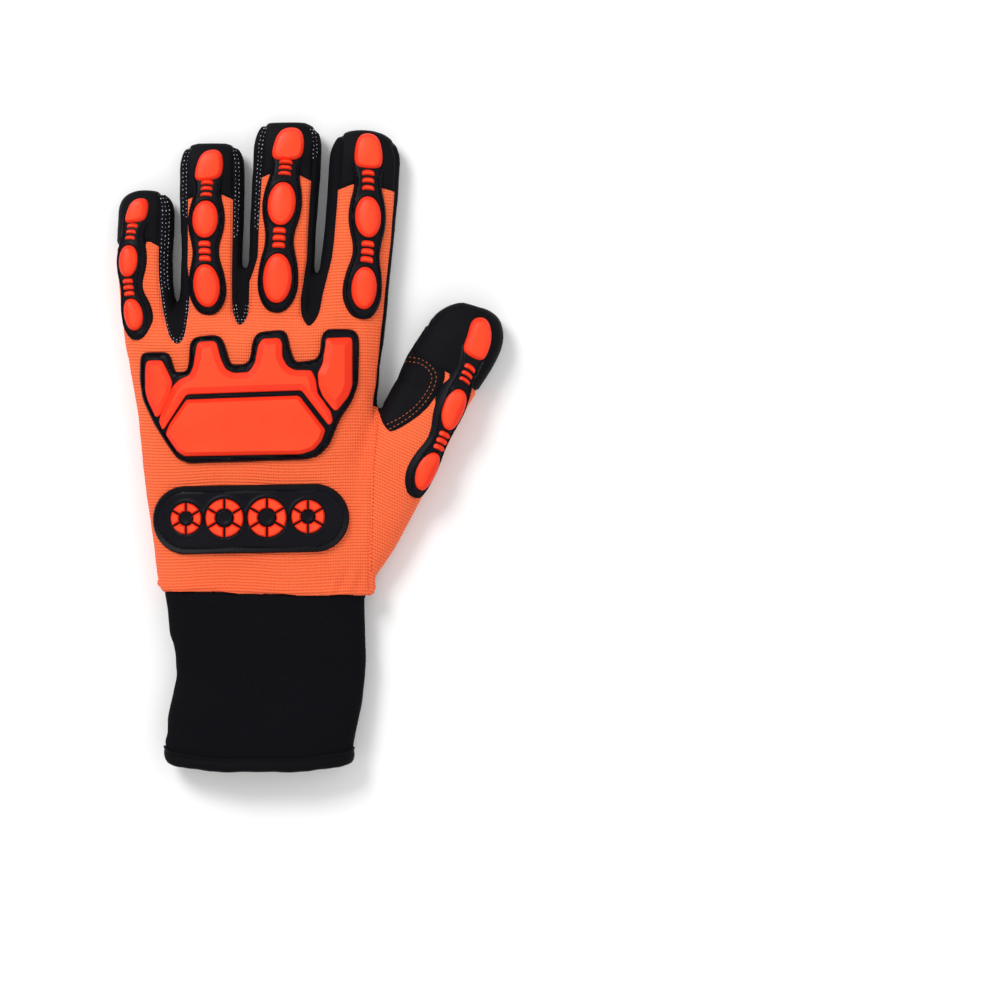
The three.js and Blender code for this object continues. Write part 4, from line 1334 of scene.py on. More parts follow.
@dataclass(frozen=True)
class Layout:
    """Where the parts of one finger's guard lie, as shares of its length, and half widths of its parts."""

    tip: tuple[float, float]
    upper: tuple[float, float]
    joint: tuple[float, float]
    lower: tuple[float, float]
    root: tuple[float, float]
    wide: tuple[float, float, float, float]
    lean: float


LAYOUTS = {
    "little": Layout(
        (0.018, 0.192), (0.2, 0.325), (0.352, 0.567), (0.576, 0.702), (0.714, 0.935),
        (0.76, 0.32, 0.6, 0.6), 0.2,
    ),
    "ring": Layout(
        (0.0, 0.188), (0.188, 0.297), (0.312, 0.537), (0.552, 0.685), (0.696, 0.953),
        (0.86, 0.32, 0.67, 0.7), 0.18,
    ),
    "middle": Layout(
        (0.0, 0.178), (0.178, 0.272), (0.3, 0.532), (0.542, 0.661), (0.684, 0.949),
        (0.9, 0.32, 0.68, 0.7), 0.12,
    ),
    "index": Layout(
        (0.0, 0.191), (0.203, 0.323), (0.345, 0.565), (0.58, 0.703), (0.72, 0.946),
        (0.88, 0.33, 0.67, 0.64), 0.0,
    ),
    "thumb": Layout(
        (0.01, 0.187), (0.222, 0.33), (0.37, 0.597), (0.61, 0.722), (0.735, 0.95),
        (0.94, 0.4, 0.72, 0.72), 0.12,
    ),
}


@dataclass
class FingerGuard:
    """The guard on the back of one finger: a waisted plate with pads and ribs."""

    finger: Finger
    cell: float = 0.52

    @property
    def layout(self) -> Layout:
        """Where this finger's pads lie."""
        return LAYOUTS[self.finger.name]

    def flat(self, rows: Outline) -> list[tuple[float, float]]:
        """Map places from shares of the half width and of the guard's length."""
        half, length = self.finger.guard_width / 2, self.finger.guard_length
        return [(across * half, along * length) for across, along in rows]

    def plate_outline(self) -> Array:
        """The plate's rounded outline in the map.

        Returns:
            The outline.
        """
        usual, lay = (0.26, 0.435, 0.615, 0.81), self.layout
        waists = (sum(lay.upper) / 2, sum(lay.joint) / 2, sum(lay.lower) / 2, sum(lay.root) / 2 - 0.01)
        start = -0.6 * self.finger.inset / self.finger.guard_length
        along, halves = zip(*PLATE_OUTLINE)
        moved = np.interp(along, (along[0], *usual, 1), (start, *waists, 1))
        right = list(zip(halves, moved))
        left = [(-half, at) for half, at in right[::-1]]
        return softened(self.flat(right + left), 2)

    def oval(self, span: tuple[float, float], half: float) -> Array:
        """An oval between two shares of the length, of a half width.

        Args:
            span: The two shares.
            half: The half width, as a share.

        Returns:
            The outline.
        """
        turn = np.linspace(0, 2 * math.pi, 48, endpoint=False)
        middle, reach = (span[0] + span[1]) / 2, (span[1] - span[0]) / 2
        across = np.sign(np.cos(turn)) * np.abs(np.cos(turn)) ** 0.92 * half
        return np.array(self.flat(np.stack([across, middle + reach * np.sin(turn)], 1)))

    def tip_outline(self) -> Array:
        """The rounded pad at the fingertip, leaning on most fingers.

        Returns:
            The outline.
        """
        (low, high), wide, lean = self.layout.tip, self.layout.wide[0], self.layout.lean
        shape = [(x + lean * (0.8 - y), low + (high - low) * (y - 0.35 * lean * x)) for x, y in TIP_SHAPE]
        return softened(self.flat([(x * wide, y) for x, y in shape]), 2)

    def bars(self, span: tuple[float, float], half: float, bowed: float) -> list[Array]:
        """Three short ribs across, between two shares of the length.

        Args:
            span: The two shares.
            half: Their half width, as a share.
            bowed: How far their edges bow.

        Returns:
            Their outlines.
        """
        pitch = (span[1] - span[0]) / 3
        made = []
        for i in range(3):
            low = span[0] + (i + 0.1) * pitch
            high = span[0] + (i + 0.88) * pitch
            foot = low + 0.12 * pitch
            rows = [
                (-half, high), (-half, foot), (-0.5 * half, low - bowed), (0.5 * half, low - bowed),
                (half, foot), (half, high), (0.45 * half, high - bowed), (-0.45 * half, high - bowed),
            ]
            made.append(softened(self.flat(rows), 2))
        return made

    def build(self, finishes: Materials) -> Plate:
        """Makes the plate, its pads and its ribs.

        Args:
            finishes: Materials by slot.

        Returns:
            The plate, for its stitches.
        """
        name, chart, lay = self.finger.name, FingerChart(self.finger), self.layout
        joint, root = self.oval(lay.joint, lay.wide[2]), self.oval(lay.root, lay.wide[3])
        upper = self.bars(lay.upper, lay.wide[1] * 1.04, 0.006)
        lower = self.bars(lay.lower, lay.wide[1], 0.003)
        reach = self.finger.guard_length
        merge = lambda flat: -1.9 * (1 - ease(flat[:, 1], 0.12 * reach, 0.26 * reach))
        plate = Plate(self.plate_outline(), chart, 1.5, 0.3, 1.3, [(joint, 0.3), (root, 0.3)], merge)
        net = turned_out(plate.build(self.cell))
        add(f"{name}_guard_plate", net, finishes, "black_rubber", f"{name}_guard")
        pads = {
            "tip_pad": [Pad(self.tip_outline(), -0.8, 1.7, 1.4, 0.5)],
            "joint_pad": [Pad(joint, 0.9, 2.5, 1.5, 1.3)],
            "root_pad": [Pad(root, 0.9, 2.5, 1.5, 1.3)],
            "upper_ribs": [Pad(bar, -0.3, 2.2, 0.9, 0.4, 0.4) for bar in upper],
            "lower_ribs": [Pad(bar, 0.9, 2.5, 0.9, 0.4, 0.4) for bar in lower],
        }
        for part, shapes in pads.items():
            net = turned_out(joined(pad.build(chart, self.cell) for pad in shapes))
            add(f"{name}_{part}_moulded", net, finishes, "orange_rubber", f"{name}_{part}")
        return plate


KNUCKLE_OUTLINE = from_back(
    (
        (141, 357), (145, 353), (168, 353), (172, 357), (176, 372), (180, 373), (188, 372), (190, 365),
        (191, 345), (196, 338), (215, 336), (222, 338), (226, 345), (231, 362), (234, 366), (247, 365),
        (251, 360), (254, 340), (260, 333), (283, 331), (288, 335), (291, 350), (295, 361), (298, 363),
        (315, 361), (320, 355), (322, 336), (327, 330), (352, 330), (358, 335), (359, 345), (358, 385),
        (352, 402), (340, 420), (330, 445), (320, 456), (308, 460), (190, 464), (178, 459), (168, 445),
        (155, 425), (143, 400), (140, 380),
    )
)
KNUCKLE_PADS = {
    "knuckle_left_wing": (
        2.3,
        (
            (146, 361), (149, 359), (162, 359), (164, 362), (170, 374), (173, 381), (170, 395), (160, 414),
            (156, 416), (150, 407), (145, 390), (145, 370),
        ),
    ),
    "knuckle_crown": (
        2.9,
        (
            (163, 429), (159, 420), (162, 408), (173, 385), (180, 378), (190, 374), (194, 365), (197, 345),
            (199, 341), (213, 340), (217, 342), (221, 357), (226, 368), (234, 372), (249, 371), (255, 362),
            (258, 345), (262, 338), (279, 337), (282, 342), (282, 356), (287, 365), (294, 369), (311, 369),
            (315, 378), (317, 392), (330, 410), (332, 420), (328, 424), (301, 389), (187, 393),
        ),
    ),
    "knuckle_right_wing": (
        3.4,
        (
            (325, 337), (350, 336), (351, 340), (351, 385), (347, 395), (336, 409), (333, 409), (322, 395),
            (318, 385), (317, 372), (322, 362), (324, 345),
        ),
    ),
    "knuckle_lower_block": (
        1.7,
        (
            (187, 400), (299, 396), (325, 430), (321, 441), (313, 450), (301, 454), (185, 456), (176, 450),
            (166, 434), (170, 424),
        ),
    ),
}


def kept_within(outline: Outline, border: Outline, margin: float) -> Array:
    """An outline fitted to a border around it.

    Args:
        outline: The outline.
        border: The border.
        margin: Width of the rim between them, wherever they run side by side.

    Returns:
        The fitted outline.
    """
    points = spaced(outline, 0.4, True)
    for _ in range(3):
        step = 0.05
        depth = inside_by(points, border)
        slope = [(inside_by(points + shift, border) - depth) / step for shift in ((step, 0.0), (0.0, step))]
        slope = np.stack(slope, 1) / np.maximum(np.hypot(*slope), 1e-6)[:, None]
        points = points + slope * np.clip(margin - depth, 0, None)[:, None]
    return softened(spaced(points, 0.7, True), 1)


@dataclass
class KnuckleGuard:
    """The wide plate over the knuckles with its four bevelled pads."""

    cell: float = 0.66

    def build(self, finishes: Materials) -> Plate:
        """Makes the plate and the pads, and returns the plate for its stitches.

        Args:
            finishes: Materials by slot.

        Returns:
            The plate.
        """
        chart = BackChart()
        sockets = [(from_back(rows), 0.15) for _, rows in KNUCKLE_PADS.values()]
        plate = Plate(softened(KNUCKLE_OUTLINE + (0.5, 0.0), 2, most=1.2), chart, 2.1, 0.45, 1.45, sockets)
        net = turned_out(plate.build(self.cell))
        add("knuckle_guard_plate", net, finishes, "black_rubber", "knuckle_guard")
        for name, (edge, rows) in KNUCKLE_PADS.items():
            shift = (1.0, -0.3) if name == "knuckle_lower_block" else (1.1, -1.1)
            outline = kept_within(softened(from_back(rows) + shift, 2, most=0.6), plate.outline, 2.2)
            pad = Pad(outline, 1.2, 4.7, edge, 0.1, 0.3)
            net = turned_out(pad.build(chart, self.cell))
            add(f"{name}_moulded", net, finishes, "orange_rubber", name, 18)
        return plate


WHEELS = (
    # place, radius of the wheel and radius of its hub, in drawing units
    (188.5, 518.5, 15.5, 6.5),
    (227, 518, 19, 8.5),
    (269.3, 517.5, 19.3, 8.5),
    (309.8, 516.5, 16.5, 6.5),
)


@dataclass
class WristGuard:
    """The long plate above the wrist with four spoked wheels."""

    length: float = 88.4
    width: float = 30.6
    tilt: float = 1.0
    cell: float = 0.58
    pad_cell: float = 0.42
    spoke: float = 0.75

    def outline(self) -> Array:
        """The plate's outline: a strip with round ends, slightly turned.

        Returns:
            The outline.
        """
        radius, turn = self.width / 2, np.linspace(-math.pi / 2, math.pi / 2, 32)
        end = np.stack([self.length / 2 - radius + radius * np.cos(turn), radius * np.sin(turn)], 1)
        loop = np.concatenate([end, -end])
        lean = math.radians(self.tilt)
        spin = np.array([[math.cos(lean), math.sin(lean)], [-math.sin(lean), math.cos(lean)]])
        return loop @ spin + (-0.0395 * HAND_WIDTH, WRIST_Y + 0.273 * PALM_LENGTH)

    def relief(self, flat: Array) -> Array:
        """Rings round the wheels, their sunk floors, and the hubs and spokes that stand in them.

        Args:
            flat: Places in plan.

        Returns:
            Height added at each.
        """
        total = np.zeros(len(flat))
        for px, py, size, hub in WHEELS:
            (x, y), radius = from_back([(px, py)])[0], size * UNIT
            dx, dy = flat[:, 0] - x, flat[:, 1] - y
            away = np.hypot(dx, dy)
            total += 0.4 * bell(away - radius - 1.0, 0.45) - 0.3 * ease(radius + 0.35 - away, 0, 0.4)
            angle = np.arctan2(dy, dx) - math.radians(30)
            beside = away * np.abs(np.sin(3 * angle) / 3)
            spokes = bell(beside, 0.42) * (away < radius + 0.3)
            core = ease(hub * UNIT + 0.2 - away, 0, 0.5)
            dimple = ease(0.55 * hub * UNIT - away, -0.3, 0.4)
            total += 0.95 * np.maximum(spokes * 0.75, core) - 0.35 * core * dimple
        return total

    def segment(self, wheel: tuple[float, float, float, float], index: int) -> Array:
        """One of a wheel's six segments in plan.

        Args:
            wheel: The wheel's place and radii.
            index: Which of the six.

        Returns:
            The outline.
        """
        px, py, size, hub = wheel
        centre = from_back([(px, py)])[0]
        outer, inner = size * UNIT, hub * UNIT + 0.35
        rows = []
        for radius, order in ((outer, 1), (inner, -1)):
            gap = math.asin(self.spoke / 2 / radius)
            middle = math.radians(60 * index)
            turn = np.linspace(middle - math.pi / 6 + gap, middle + math.pi / 6 - gap, 10)[::order]
            rows.append(centre + radius * np.stack([np.cos(turn), np.sin(turn)], 1))
        return np.concatenate(rows)

    def build(self, finishes: Materials) -> Plate:
        """Makes the plate and the wheels, and returns the plate for its stitches.

        Args:
            finishes: Materials by slot.

        Returns:
            The plate.
        """
        chart = BackChart()
        plate = Plate(self.outline(), chart, 2.1, 0.4, 2.6, (), self.relief)
        add("wrist_guard_plate", turned_out(plate.build(self.cell)), finishes, "black_rubber", "wrist_guard")
        for i, wheel in enumerate(WHEELS):
            pads = [Pad(self.segment(wheel, k), 1.1, 3.2, 0.7, 0.1, 0.3) for k in range(6)]
            net = turned_out(joined(pad.build(chart, self.pad_cell) for pad in pads))
            add(f"wrist_wheel_{i + 1}_moulded", net, finishes, "orange_rubber", f"wrist_wheel_{i + 1}")
        return plate


# Cuff, binding and pull tab
CUFF_ROWS = np.array(
    [
        # y, left, right, low, high
        (-142.4, -42.6, 40.4, 4.0, 21.6),
        (-135.0, -43.4, 41.2, 4.1, 21.8),
        (-128.0, -42.4, 42.2, 3.9, 22.0),
        (-121.5, -42.3, 43.6, 3.4, 21.5),
        (-114.8, -41.0, 45.0, 2.9, 21.1),
        (-108.0, -39.4, 45.6, 2.5, 20.9),
        (-101.0, -38.7, 46.2, 2.3, 20.8),
        (-94.5, -39.3, 46.4, 2.3, 20.8),
        (-81.0, -41.4, 46.4, 2.4, 20.9),
        (-67.5, -43.2, 46.1, 3.3, 20.8),
        (-62.5, -43.8, 47.6, 4.6, 20.0),
        (-55.5, -43.8, 48.3, 4.8, 19.6),
    ]
)
MOUTH_Y = -144.0


def cuff_ring(y: float, grow: float, count: int) -> Array:
    """One ring of the cuff's skin, moved outwards by a distance.

    Args:
        y: Place along the cuff.
        grow: That distance.
        count: Points in the ring.

    Returns:
        The ring's points.
    """
    left, right, low, high = (float(cubic(y, CUFF_ROWS[:, 0], CUFF_ROWS[:, k])) for k in (1, 2, 3, 4))
    ring = section(left - grow, right + grow, low - grow, high + grow, HAND_POWER, count)
    return np.stack([ring[:, 0], np.full(count, y), ring[:, 1]], 1)


def swept(rings: Sequence[Array], shut: bool) -> Net:
    """A mesh through rings of equally many points.

    Args:
        rings: The rings in order.
        shut: Whether the last ring joins the first.

    Returns:
        The mesh.
    """
    count, total = len(rings[0]), len(rings)
    layers = np.arange(total if shut else total - 1)[:, None]
    i = np.arange(count)[None]
    a, b = layers * count + i, layers * count + (i + 1) % count
    c, d = ((layers + 1) % total) * count + (i + 1) % count, ((layers + 1) % total) * count + i
    faces = np.concatenate([np.stack([k.ravel() for k in f], 1) for f in ((a, b, c), (a, c, d))])
    return Net(np.concatenate(rings), faces)


def mouth_bow(x: Array) -> Array:
    """How far the cuff's mouth rises towards its two rounded corners."""
    away = np.abs(x + 0.8)
    return 3.6 * (np.clip(away - 14, 0, None) / 28) ** 1.7 + 1.6 * np.clip((away - 39) / 4, 0, 1) ** 2


GUSSET_SEAM = ((598, 600), (592, 646), (597, 667), (599, 713), (604, 755))


@dataclass
class Cuff:
    """The neoprene sleeve below the hand, and the binding on its mouth."""

    wall: float = 3.0
    sides: int = 160
    rings: int = 76
    creases: Sequence[tuple[float, ...]] = (
        # place along, place round, height and reach along and round
        (-84, 0.10, -0.5, 5.0, 0.05),
        (-91, 0.07, 0.45, 6.0, 0.06),
        (-103, 0.44, -0.55, 6.0, 0.05),
        (-112, 0.40, 0.5, 6.0, 0.07),
        (-98, 0.25, -0.35, 5.0, 0.1),
        (-121, 0.16, 0.4, 7.0, 0.09),
        (-126, 0.33, -0.4, 6.0, 0.08),
        (-74, 0.35, -0.4, 4.0, 0.12),
        (-118, 0.02, -0.5, 5.0, 0.04),
        (-90, 0.5, -0.45, 6.0, 0.04),
    )

    def swell(self, points: Array) -> Array:
        """Soft creases, as a height at each point.

        Args:
            points: Points of the sleeve.

        Returns:
            One height for each.
        """
        along = points[:, 1]
        angle = np.arctan2((points[:, 2] - 11) / 9, (points[:, 0] - 2) / 43) / (2 * math.pi)
        total = 0.22 * np.sin(points[:, 0] / 10 + along / 15) * np.sin(along / 11 + 1)
        for y, turn, height, reach, spread in self.creases:
            near = (angle - turn + 0.5) % 1 - 0.5
            total += height * bell(along - y - 14 * near, reach) * bell(near, 1.6 * spread)
        seam = distance_to(points[:, :2], from_palm(GUSSET_SEAM))
        under = points[:, 2] < 12
        total -= 0.7 * bell(seam, 1.0) * under - 0.3 * bell(seam - 2.2, 0.9) * under
        return total * ease(along, MOUTH_Y + 3, MOUTH_Y + 12)

    def build(self, finishes: Materials) -> Net:
        """Makes the sleeve and its binding.

        Args:
            finishes: Materials by slot.

        Returns:
            The sleeve's outer skin.
        """
        start, end = CUFF_ROWS[0, 0], CUFF_ROWS[-1, 0]
        outer = swept([cuff_ring(y, 0, self.sides) for y in np.linspace(start, end, self.rings)], False)
        mouth = ease(-outer.points[:, 1], 118, -start)
        outer.points[:, 1] += mouth * mouth_bow(outer.points[:, 0])
        outer = turned_out(outer)
        normals = outer.normals()
        if normals[:, 2] @ (outer.points[:, 2] - 11) < 0:
            outer.faces, normals = outer.faces[:, ::-1], -normals
        outer.points = outer.points + normals * self.swell(outer.points)[:, None]
        solid = closed(outer, outer.points - normals * self.wall)
        add("cuff_sleeve", solid, finishes, "neoprene", "cuff", 50)
        self.bind(finishes)
        return outer

    def bind(self, finishes: Materials) -> None:
        """Folds the tape over the mouth.

        Args:
            finishes: Materials by slot.
        """
        rise = (
            # place along, and height over the cuff's skin
            (-137.9, 0.1), (-137.6, 0.55), (-137.9, 0.95), (-138.7, 0.95), (-139.4, 0.72), (-140.1, 1.0),
            (-141.7, 1.25), (-143.2, 0.95), (-144.0, 0.1), (-144.2, -1.5), (-144.0, -3.0), (-143.2, -3.9),
            (-141.0, -4.2), (-138.5, -4.1), (-137.8, -3.7), (-137.6, -3.1), (-142.0, -3.05), (-142.0, 0.1),
        )
        rings = []
        for y, grow in rise:
            ring = cuff_ring(max(y, CUFF_ROWS[0, 0]), grow, BINDING_SIDES)
            turn = np.arange(BINDING_SIDES) / BINDING_SIDES * 2 * math.pi
            ring[:, 1] = y + 0.9 * mouth_bow(ring[:, 0]) + 0.14 * np.sin(9 * turn) + 0.08 * np.sin(23 * turn)
            rings.append(ring)
        net = turned_out(swept(rings, True))
        add("cuff_binding_tape", net, finishes, "binding_tape", "cuff_binding", 50)


TAB_ROWS = np.array(
    [
        # along, left, right, as shares of the tab's length and width
        (0.0, -0.5, 0.4), (0.02, -0.56, 0.44), (0.1, -0.52, 0.42), (0.16, -0.44, 0.35), (0.21, -0.33, 0.22),
        (0.24, -0.28, 0.12), (0.3, -0.28, 0.1), (0.43, -0.3, 0.08), (0.64, -0.335, 0.04),
        (0.85, -0.385, 0.005), (0.985, -0.42, -0.02), (1.0, -0.4, -0.04),
    ]
)
WINDOW_SHAPE = (
    (-0.14, 0), (0.36, -0.02), (0.33, -0.16), (0.44, -0.24), (0.72, -0.26), (0.56, -1), (-0.36, -0.96),
)


@dataclass
class PullTab:
    """The moulded tongue on the palm side of the cuff, with its window and its mark."""

    length: float = 82.0
    width: float = 51.0
    centre: float = -5.0
    top: float = -61.5
    thick: float = 2.0
    groove: float = 1.7

    def outline(self) -> Array:
        """The tongue's outline in plan.

        Returns:
            The outline.
        """
        down = self.top - TAB_ROWS[:, 0] * self.length
        left, right = (np.stack([self.centre + TAB_ROWS[:, k] * self.width, down], 1) for k in (1, 2))
        return softened(np.concatenate([left, right[::-1]]), 3, most=1.6)

    def window(self, grow: float = 0.0) -> Array:
        """The window's outline in plan.

        Args:
            grow: How far it is widened.

        Returns:
            The outline.
        """
        x, y = self.centre - 0.245 * self.width, self.top - 0.37 * self.length
        rows = np.array([(x + (px - 0.1) * 14.5, y + py * 40) for px, py in WINDOW_SHAPE])
        middle = rows.mean(0)
        return softened(middle + (rows - middle) * (1 + grow / 8), 2, most=0.8)

    def chevrons(self) -> list[Array]:
        """Three chevrons on the end pad, pointing the way to pull.

        Returns:
            Their outlines.
        """
        x, y = self.centre - 0.245 * self.width - 2.1, self.top - 0.37 * self.length - 42.2
        made = []
        for i in range(3):
            top = y - 2.5 * i
            rows = [(-4.6, 0), (0, -2.3), (4.6, 0), (4.6, -1.25), (0, -3.55), (-4.6, -1.25)]
            made.append(softened([(x + px + 0.1 * i, top + py) for px, py in rows], 1))
        return made

    def relief(self, flat: Array, inside: Array) -> Array:
        """Depth of the tongue's moulded face at places in plan.

        Args:
            flat: Places in plan.
            inside: Each one's distance from the outline.

        Returns:
            One depth for each.
        """
        down = self.top - flat[:, 1]
        head = ease(0.27 * self.length - down, 0, 3)
        pad = ease(down - 0.84 * self.length, 0, 2)
        edge = np.clip(inside / 0.8, 0, 1)
        rise = self.thick * (0.35 + 0.65 * np.sqrt(1 - (1 - edge) ** 2)) - 0.45
        rise += 0.3 * bell(inside - 0.8, 0.5)
        rise += head * 0.4 * np.cos(2 * math.pi * inside / 1.1) * ease(inside, 2.6, 3.2)
        neck = ease(down, 0.25 * self.length, 0.27 * self.length) * (down < 0.355 * self.length)
        rise += neck * 0.35 * np.cos(2 * math.pi * down / 1.1) * ease(inside, 2.6, 3.0)
        rise -= 0.35 * bell(inside - self.groove, 0.35) * ease(0.86 * self.length - down, 0, 2)
        across = flat[:, 0] + 0.07 * down
        bumps = np.cos(across * math.pi / 1.15) * np.cos(flat[:, 1] * math.pi / 1.15)
        rise += pad * 0.7 * np.clip(bumps - 0.25, 0, 1) * ease(inside, 1.6, 2.4)
        away = -inside_by(flat, self.window(0.3))
        rise += 0.3 * bell(away - 0.6, 0.45) - 0.55 * ease(-away, -0.1, 0.3)
        return rise

    def face(self, outline: Array, cell: float, depth: Callable[[Array, Array], Array], roof: float) -> Net:
        """A closed plate whose moulded side looks down.

        Args:
            outline: Its outline in plan.
            cell: Spacing of its net.
            depth: Height of the moulded face below the roof's plane.
            roof: Height of its flat upper side.

        Returns:
            The mesh.
        """
        flat, inside = patch(outline, cell, (0.3, 0.8))
        plan = flat.points[:, :2]
        low = self.thick - depth(plan, inside)
        flat.points = np.column_stack([plan, low])
        return turned_out(closed(flat, np.column_stack([plan, np.full(len(plan), roof)])))

    def build(self, finishes: Materials) -> None:
        """Makes the tongue, its window and the chevrons.

        Args:
            finishes: Materials by slot.
        """
        net = self.face(self.outline(), 0.4, self.relief, self.thick + 0.2)
        add("pull_tab_moulded", net, finishes, "black_rubber", "pull_tab")
        film = lambda plan, inside: 1.35 + 0.12 * np.clip(inside / 0.8, 0, 1) + 0.03 * np.sin(plan[:, 1] / 3)
        net = self.face(self.window(), 0.8, film, 1.2)
        add("id_window_film", net, finishes, "window_film", "id_window")
        mark = lambda plan, inside: 1.75 + 0.2 * np.clip(inside / 0.4, 0, 1)
        nets = [self.face(outline, 0.35, mark, 1.0) for outline in self.chevrons()]
        add("pull_mark_moulded", joined(nets), finishes, "orange_rubber", "pull_mark")

    def seam(self) -> Array:
        """The line of stitches down both sides of the tongue's stem.

        Returns:
            The line's points.
        """
        flat = self.outline()
        line = inset_line(flat, self.groove, 1)
        kept = (inside_by(line, flat) > self.groove - 0.4) & (line[:, 1] > self.top - 0.86 * self.length)
        return line[kept]


# Stitches
class StitchTree:
    """Geometry nodes that lay one thread bead on each point of a mesh."""

    SIZES = {"Length": 2.2, "Width": 0.6, "Height": 0.45, "Unevenness": 0.15}

    def __init__(self) -> None:
        """Draws the tree once, for every row of stitches."""
        tree = bpy.data.node_groups.new("stitch_rows", "GeometryNodeTree")
        socket = tree.interface.new_socket
        socket("Geometry", in_out="INPUT", socket_type="NodeSocketGeometry")
        for label, value in self.SIZES.items():
            socket(label, in_out="INPUT", socket_type="NodeSocketFloat").default_value = value
        socket("Seed", in_out="INPUT", socket_type="NodeSocketInt")
        socket("Thread", in_out="INPUT", socket_type="NodeSocketMaterial")
        socket("Geometry", in_out="OUTPUT", socket_type="NodeSocketGeometry")
        ink = Ink(tree)
        ink.prefix = ""
        source = ink.node("NodeGroupInput").outputs
        vector = lambda label: ink.node(
            "GeometryNodeInputNamedAttribute", {"Name": label}, data_type="FLOAT_VECTOR"
        ).outputs["Attribute"]
        upright = ink.node("FunctionNodeAlignRotationToVector", {"Vector": vector("up")}, axis="Z")
        along = ink.node(
            "FunctionNodeAlignRotationToVector",
            {"Rotation": upright.outputs[0], "Vector": vector("ahead")},
            axis="X",
            pivot_axis="Z",
        )
        bead = ink.node("GeometryNodeMeshIcoSphere", {"Subdivisions": 1, "Radius": 0.5 * MM})
        uneven = ink.node("FunctionNodeRandomValue", {"Seed": source["Seed"]}, data_type="FLOAT")
        less = {0: source["Unevenness"], 1: uneven.outputs[1]}
        spread = ink.node("ShaderNodeMath", less, operation="MULTIPLY")
        share = ink.node("ShaderNodeMath", {0: 1.0, 1: spread.outputs[0]}, operation="SUBTRACT")
        sizes = {k: source[label] for k, label in enumerate(("Length", "Width", "Height"))}
        size = ink.node("ShaderNodeCombineXYZ", sizes)
        grown = {0: size.outputs[0], "Scale": share.outputs[0]}
        scale = ink.node("ShaderNodeVectorMath", grown, operation="SCALE")
        laid = ink.node(
            "GeometryNodeInstanceOnPoints",
            {
                "Points": source["Geometry"],
                "Instance": bead.outputs[0],
                "Rotation": along.outputs[0],
                "Scale": scale.outputs[0],
            },
        )
        real = ink.node("GeometryNodeRealizeInstances", {0: laid.outputs[0]})
        shaded = ink.node("GeometryNodeSetShadeSmooth", {0: real.outputs[0]})
        dyed = {"Geometry": shaded.outputs[0], "Material": source["Thread"]}
        coloured = ink.node("GeometryNodeSetMaterial", dyed)
        sink = ink.node("NodeGroupOutput")
        tree.links.new(coloured.outputs[0], sink.inputs[0])
        self.tree = tree

    def sew(self, name: str, rows: Sequence[Row], thread: bpy.types.Material, **sizes: float) -> None:
        """Sews rows of stitches as one piece.

        Args:
            name: The piece's name.
            rows: For each row its points on the surface, and the direction that looks out at each.
            thread: The thread's material.
            sizes: The tree's sizes in millimetres, by name in lower case.
        """
        rows = [row for row in rows if len(row[0]) > 2]
        ahead = np.concatenate([np.gradient(points, axis=0) for points, _ in rows])
        up = np.concatenate([out for _, out in rows])
        mesh = bpy.data.meshes.new(f"{name}_points")
        mesh.from_pydata((np.concatenate([points for points, _ in rows]) * MM).tolist(), [], [])
        for label, values in (("ahead", ahead), ("up", up)):
            unit = values / np.maximum(np.linalg.norm(values, axis=1, keepdims=True), 1e-9)
            mesh.attributes.new(label, "FLOAT_VECTOR", "POINT").data.foreach_set("vector", unit.ravel())
        holder = bpy.data.objects.new(f"{name}_points", mesh)
        bpy.context.scene.collection.objects.link(holder)
        modifier = holder.modifiers.new("stitches", "NODES")
        modifier.node_group = self.tree
        sockets = {s.name: s.identifier for s in self.tree.interface.items_tree if s.in_out == "INPUT"}
        for label, value in {**self.SIZES, **{k.capitalize(): v for k, v in sizes.items()}}.items():
            modifier[sockets[label]] = value
        modifier[sockets["Seed"]] = len(up)
        modifier[sockets["Thread"]] = thread
        graph = bpy.context.evaluated_depsgraph_get()
        made = bpy.data.meshes.new_from_object(holder.evaluated_get(graph), depsgraph=graph)
        made.name = name
        bpy.data.objects.remove(holder)
        piece = bpy.data.objects.new(name, made)
        bpy.context.scene.collection.objects.link(piece)
        dress(piece, thread)


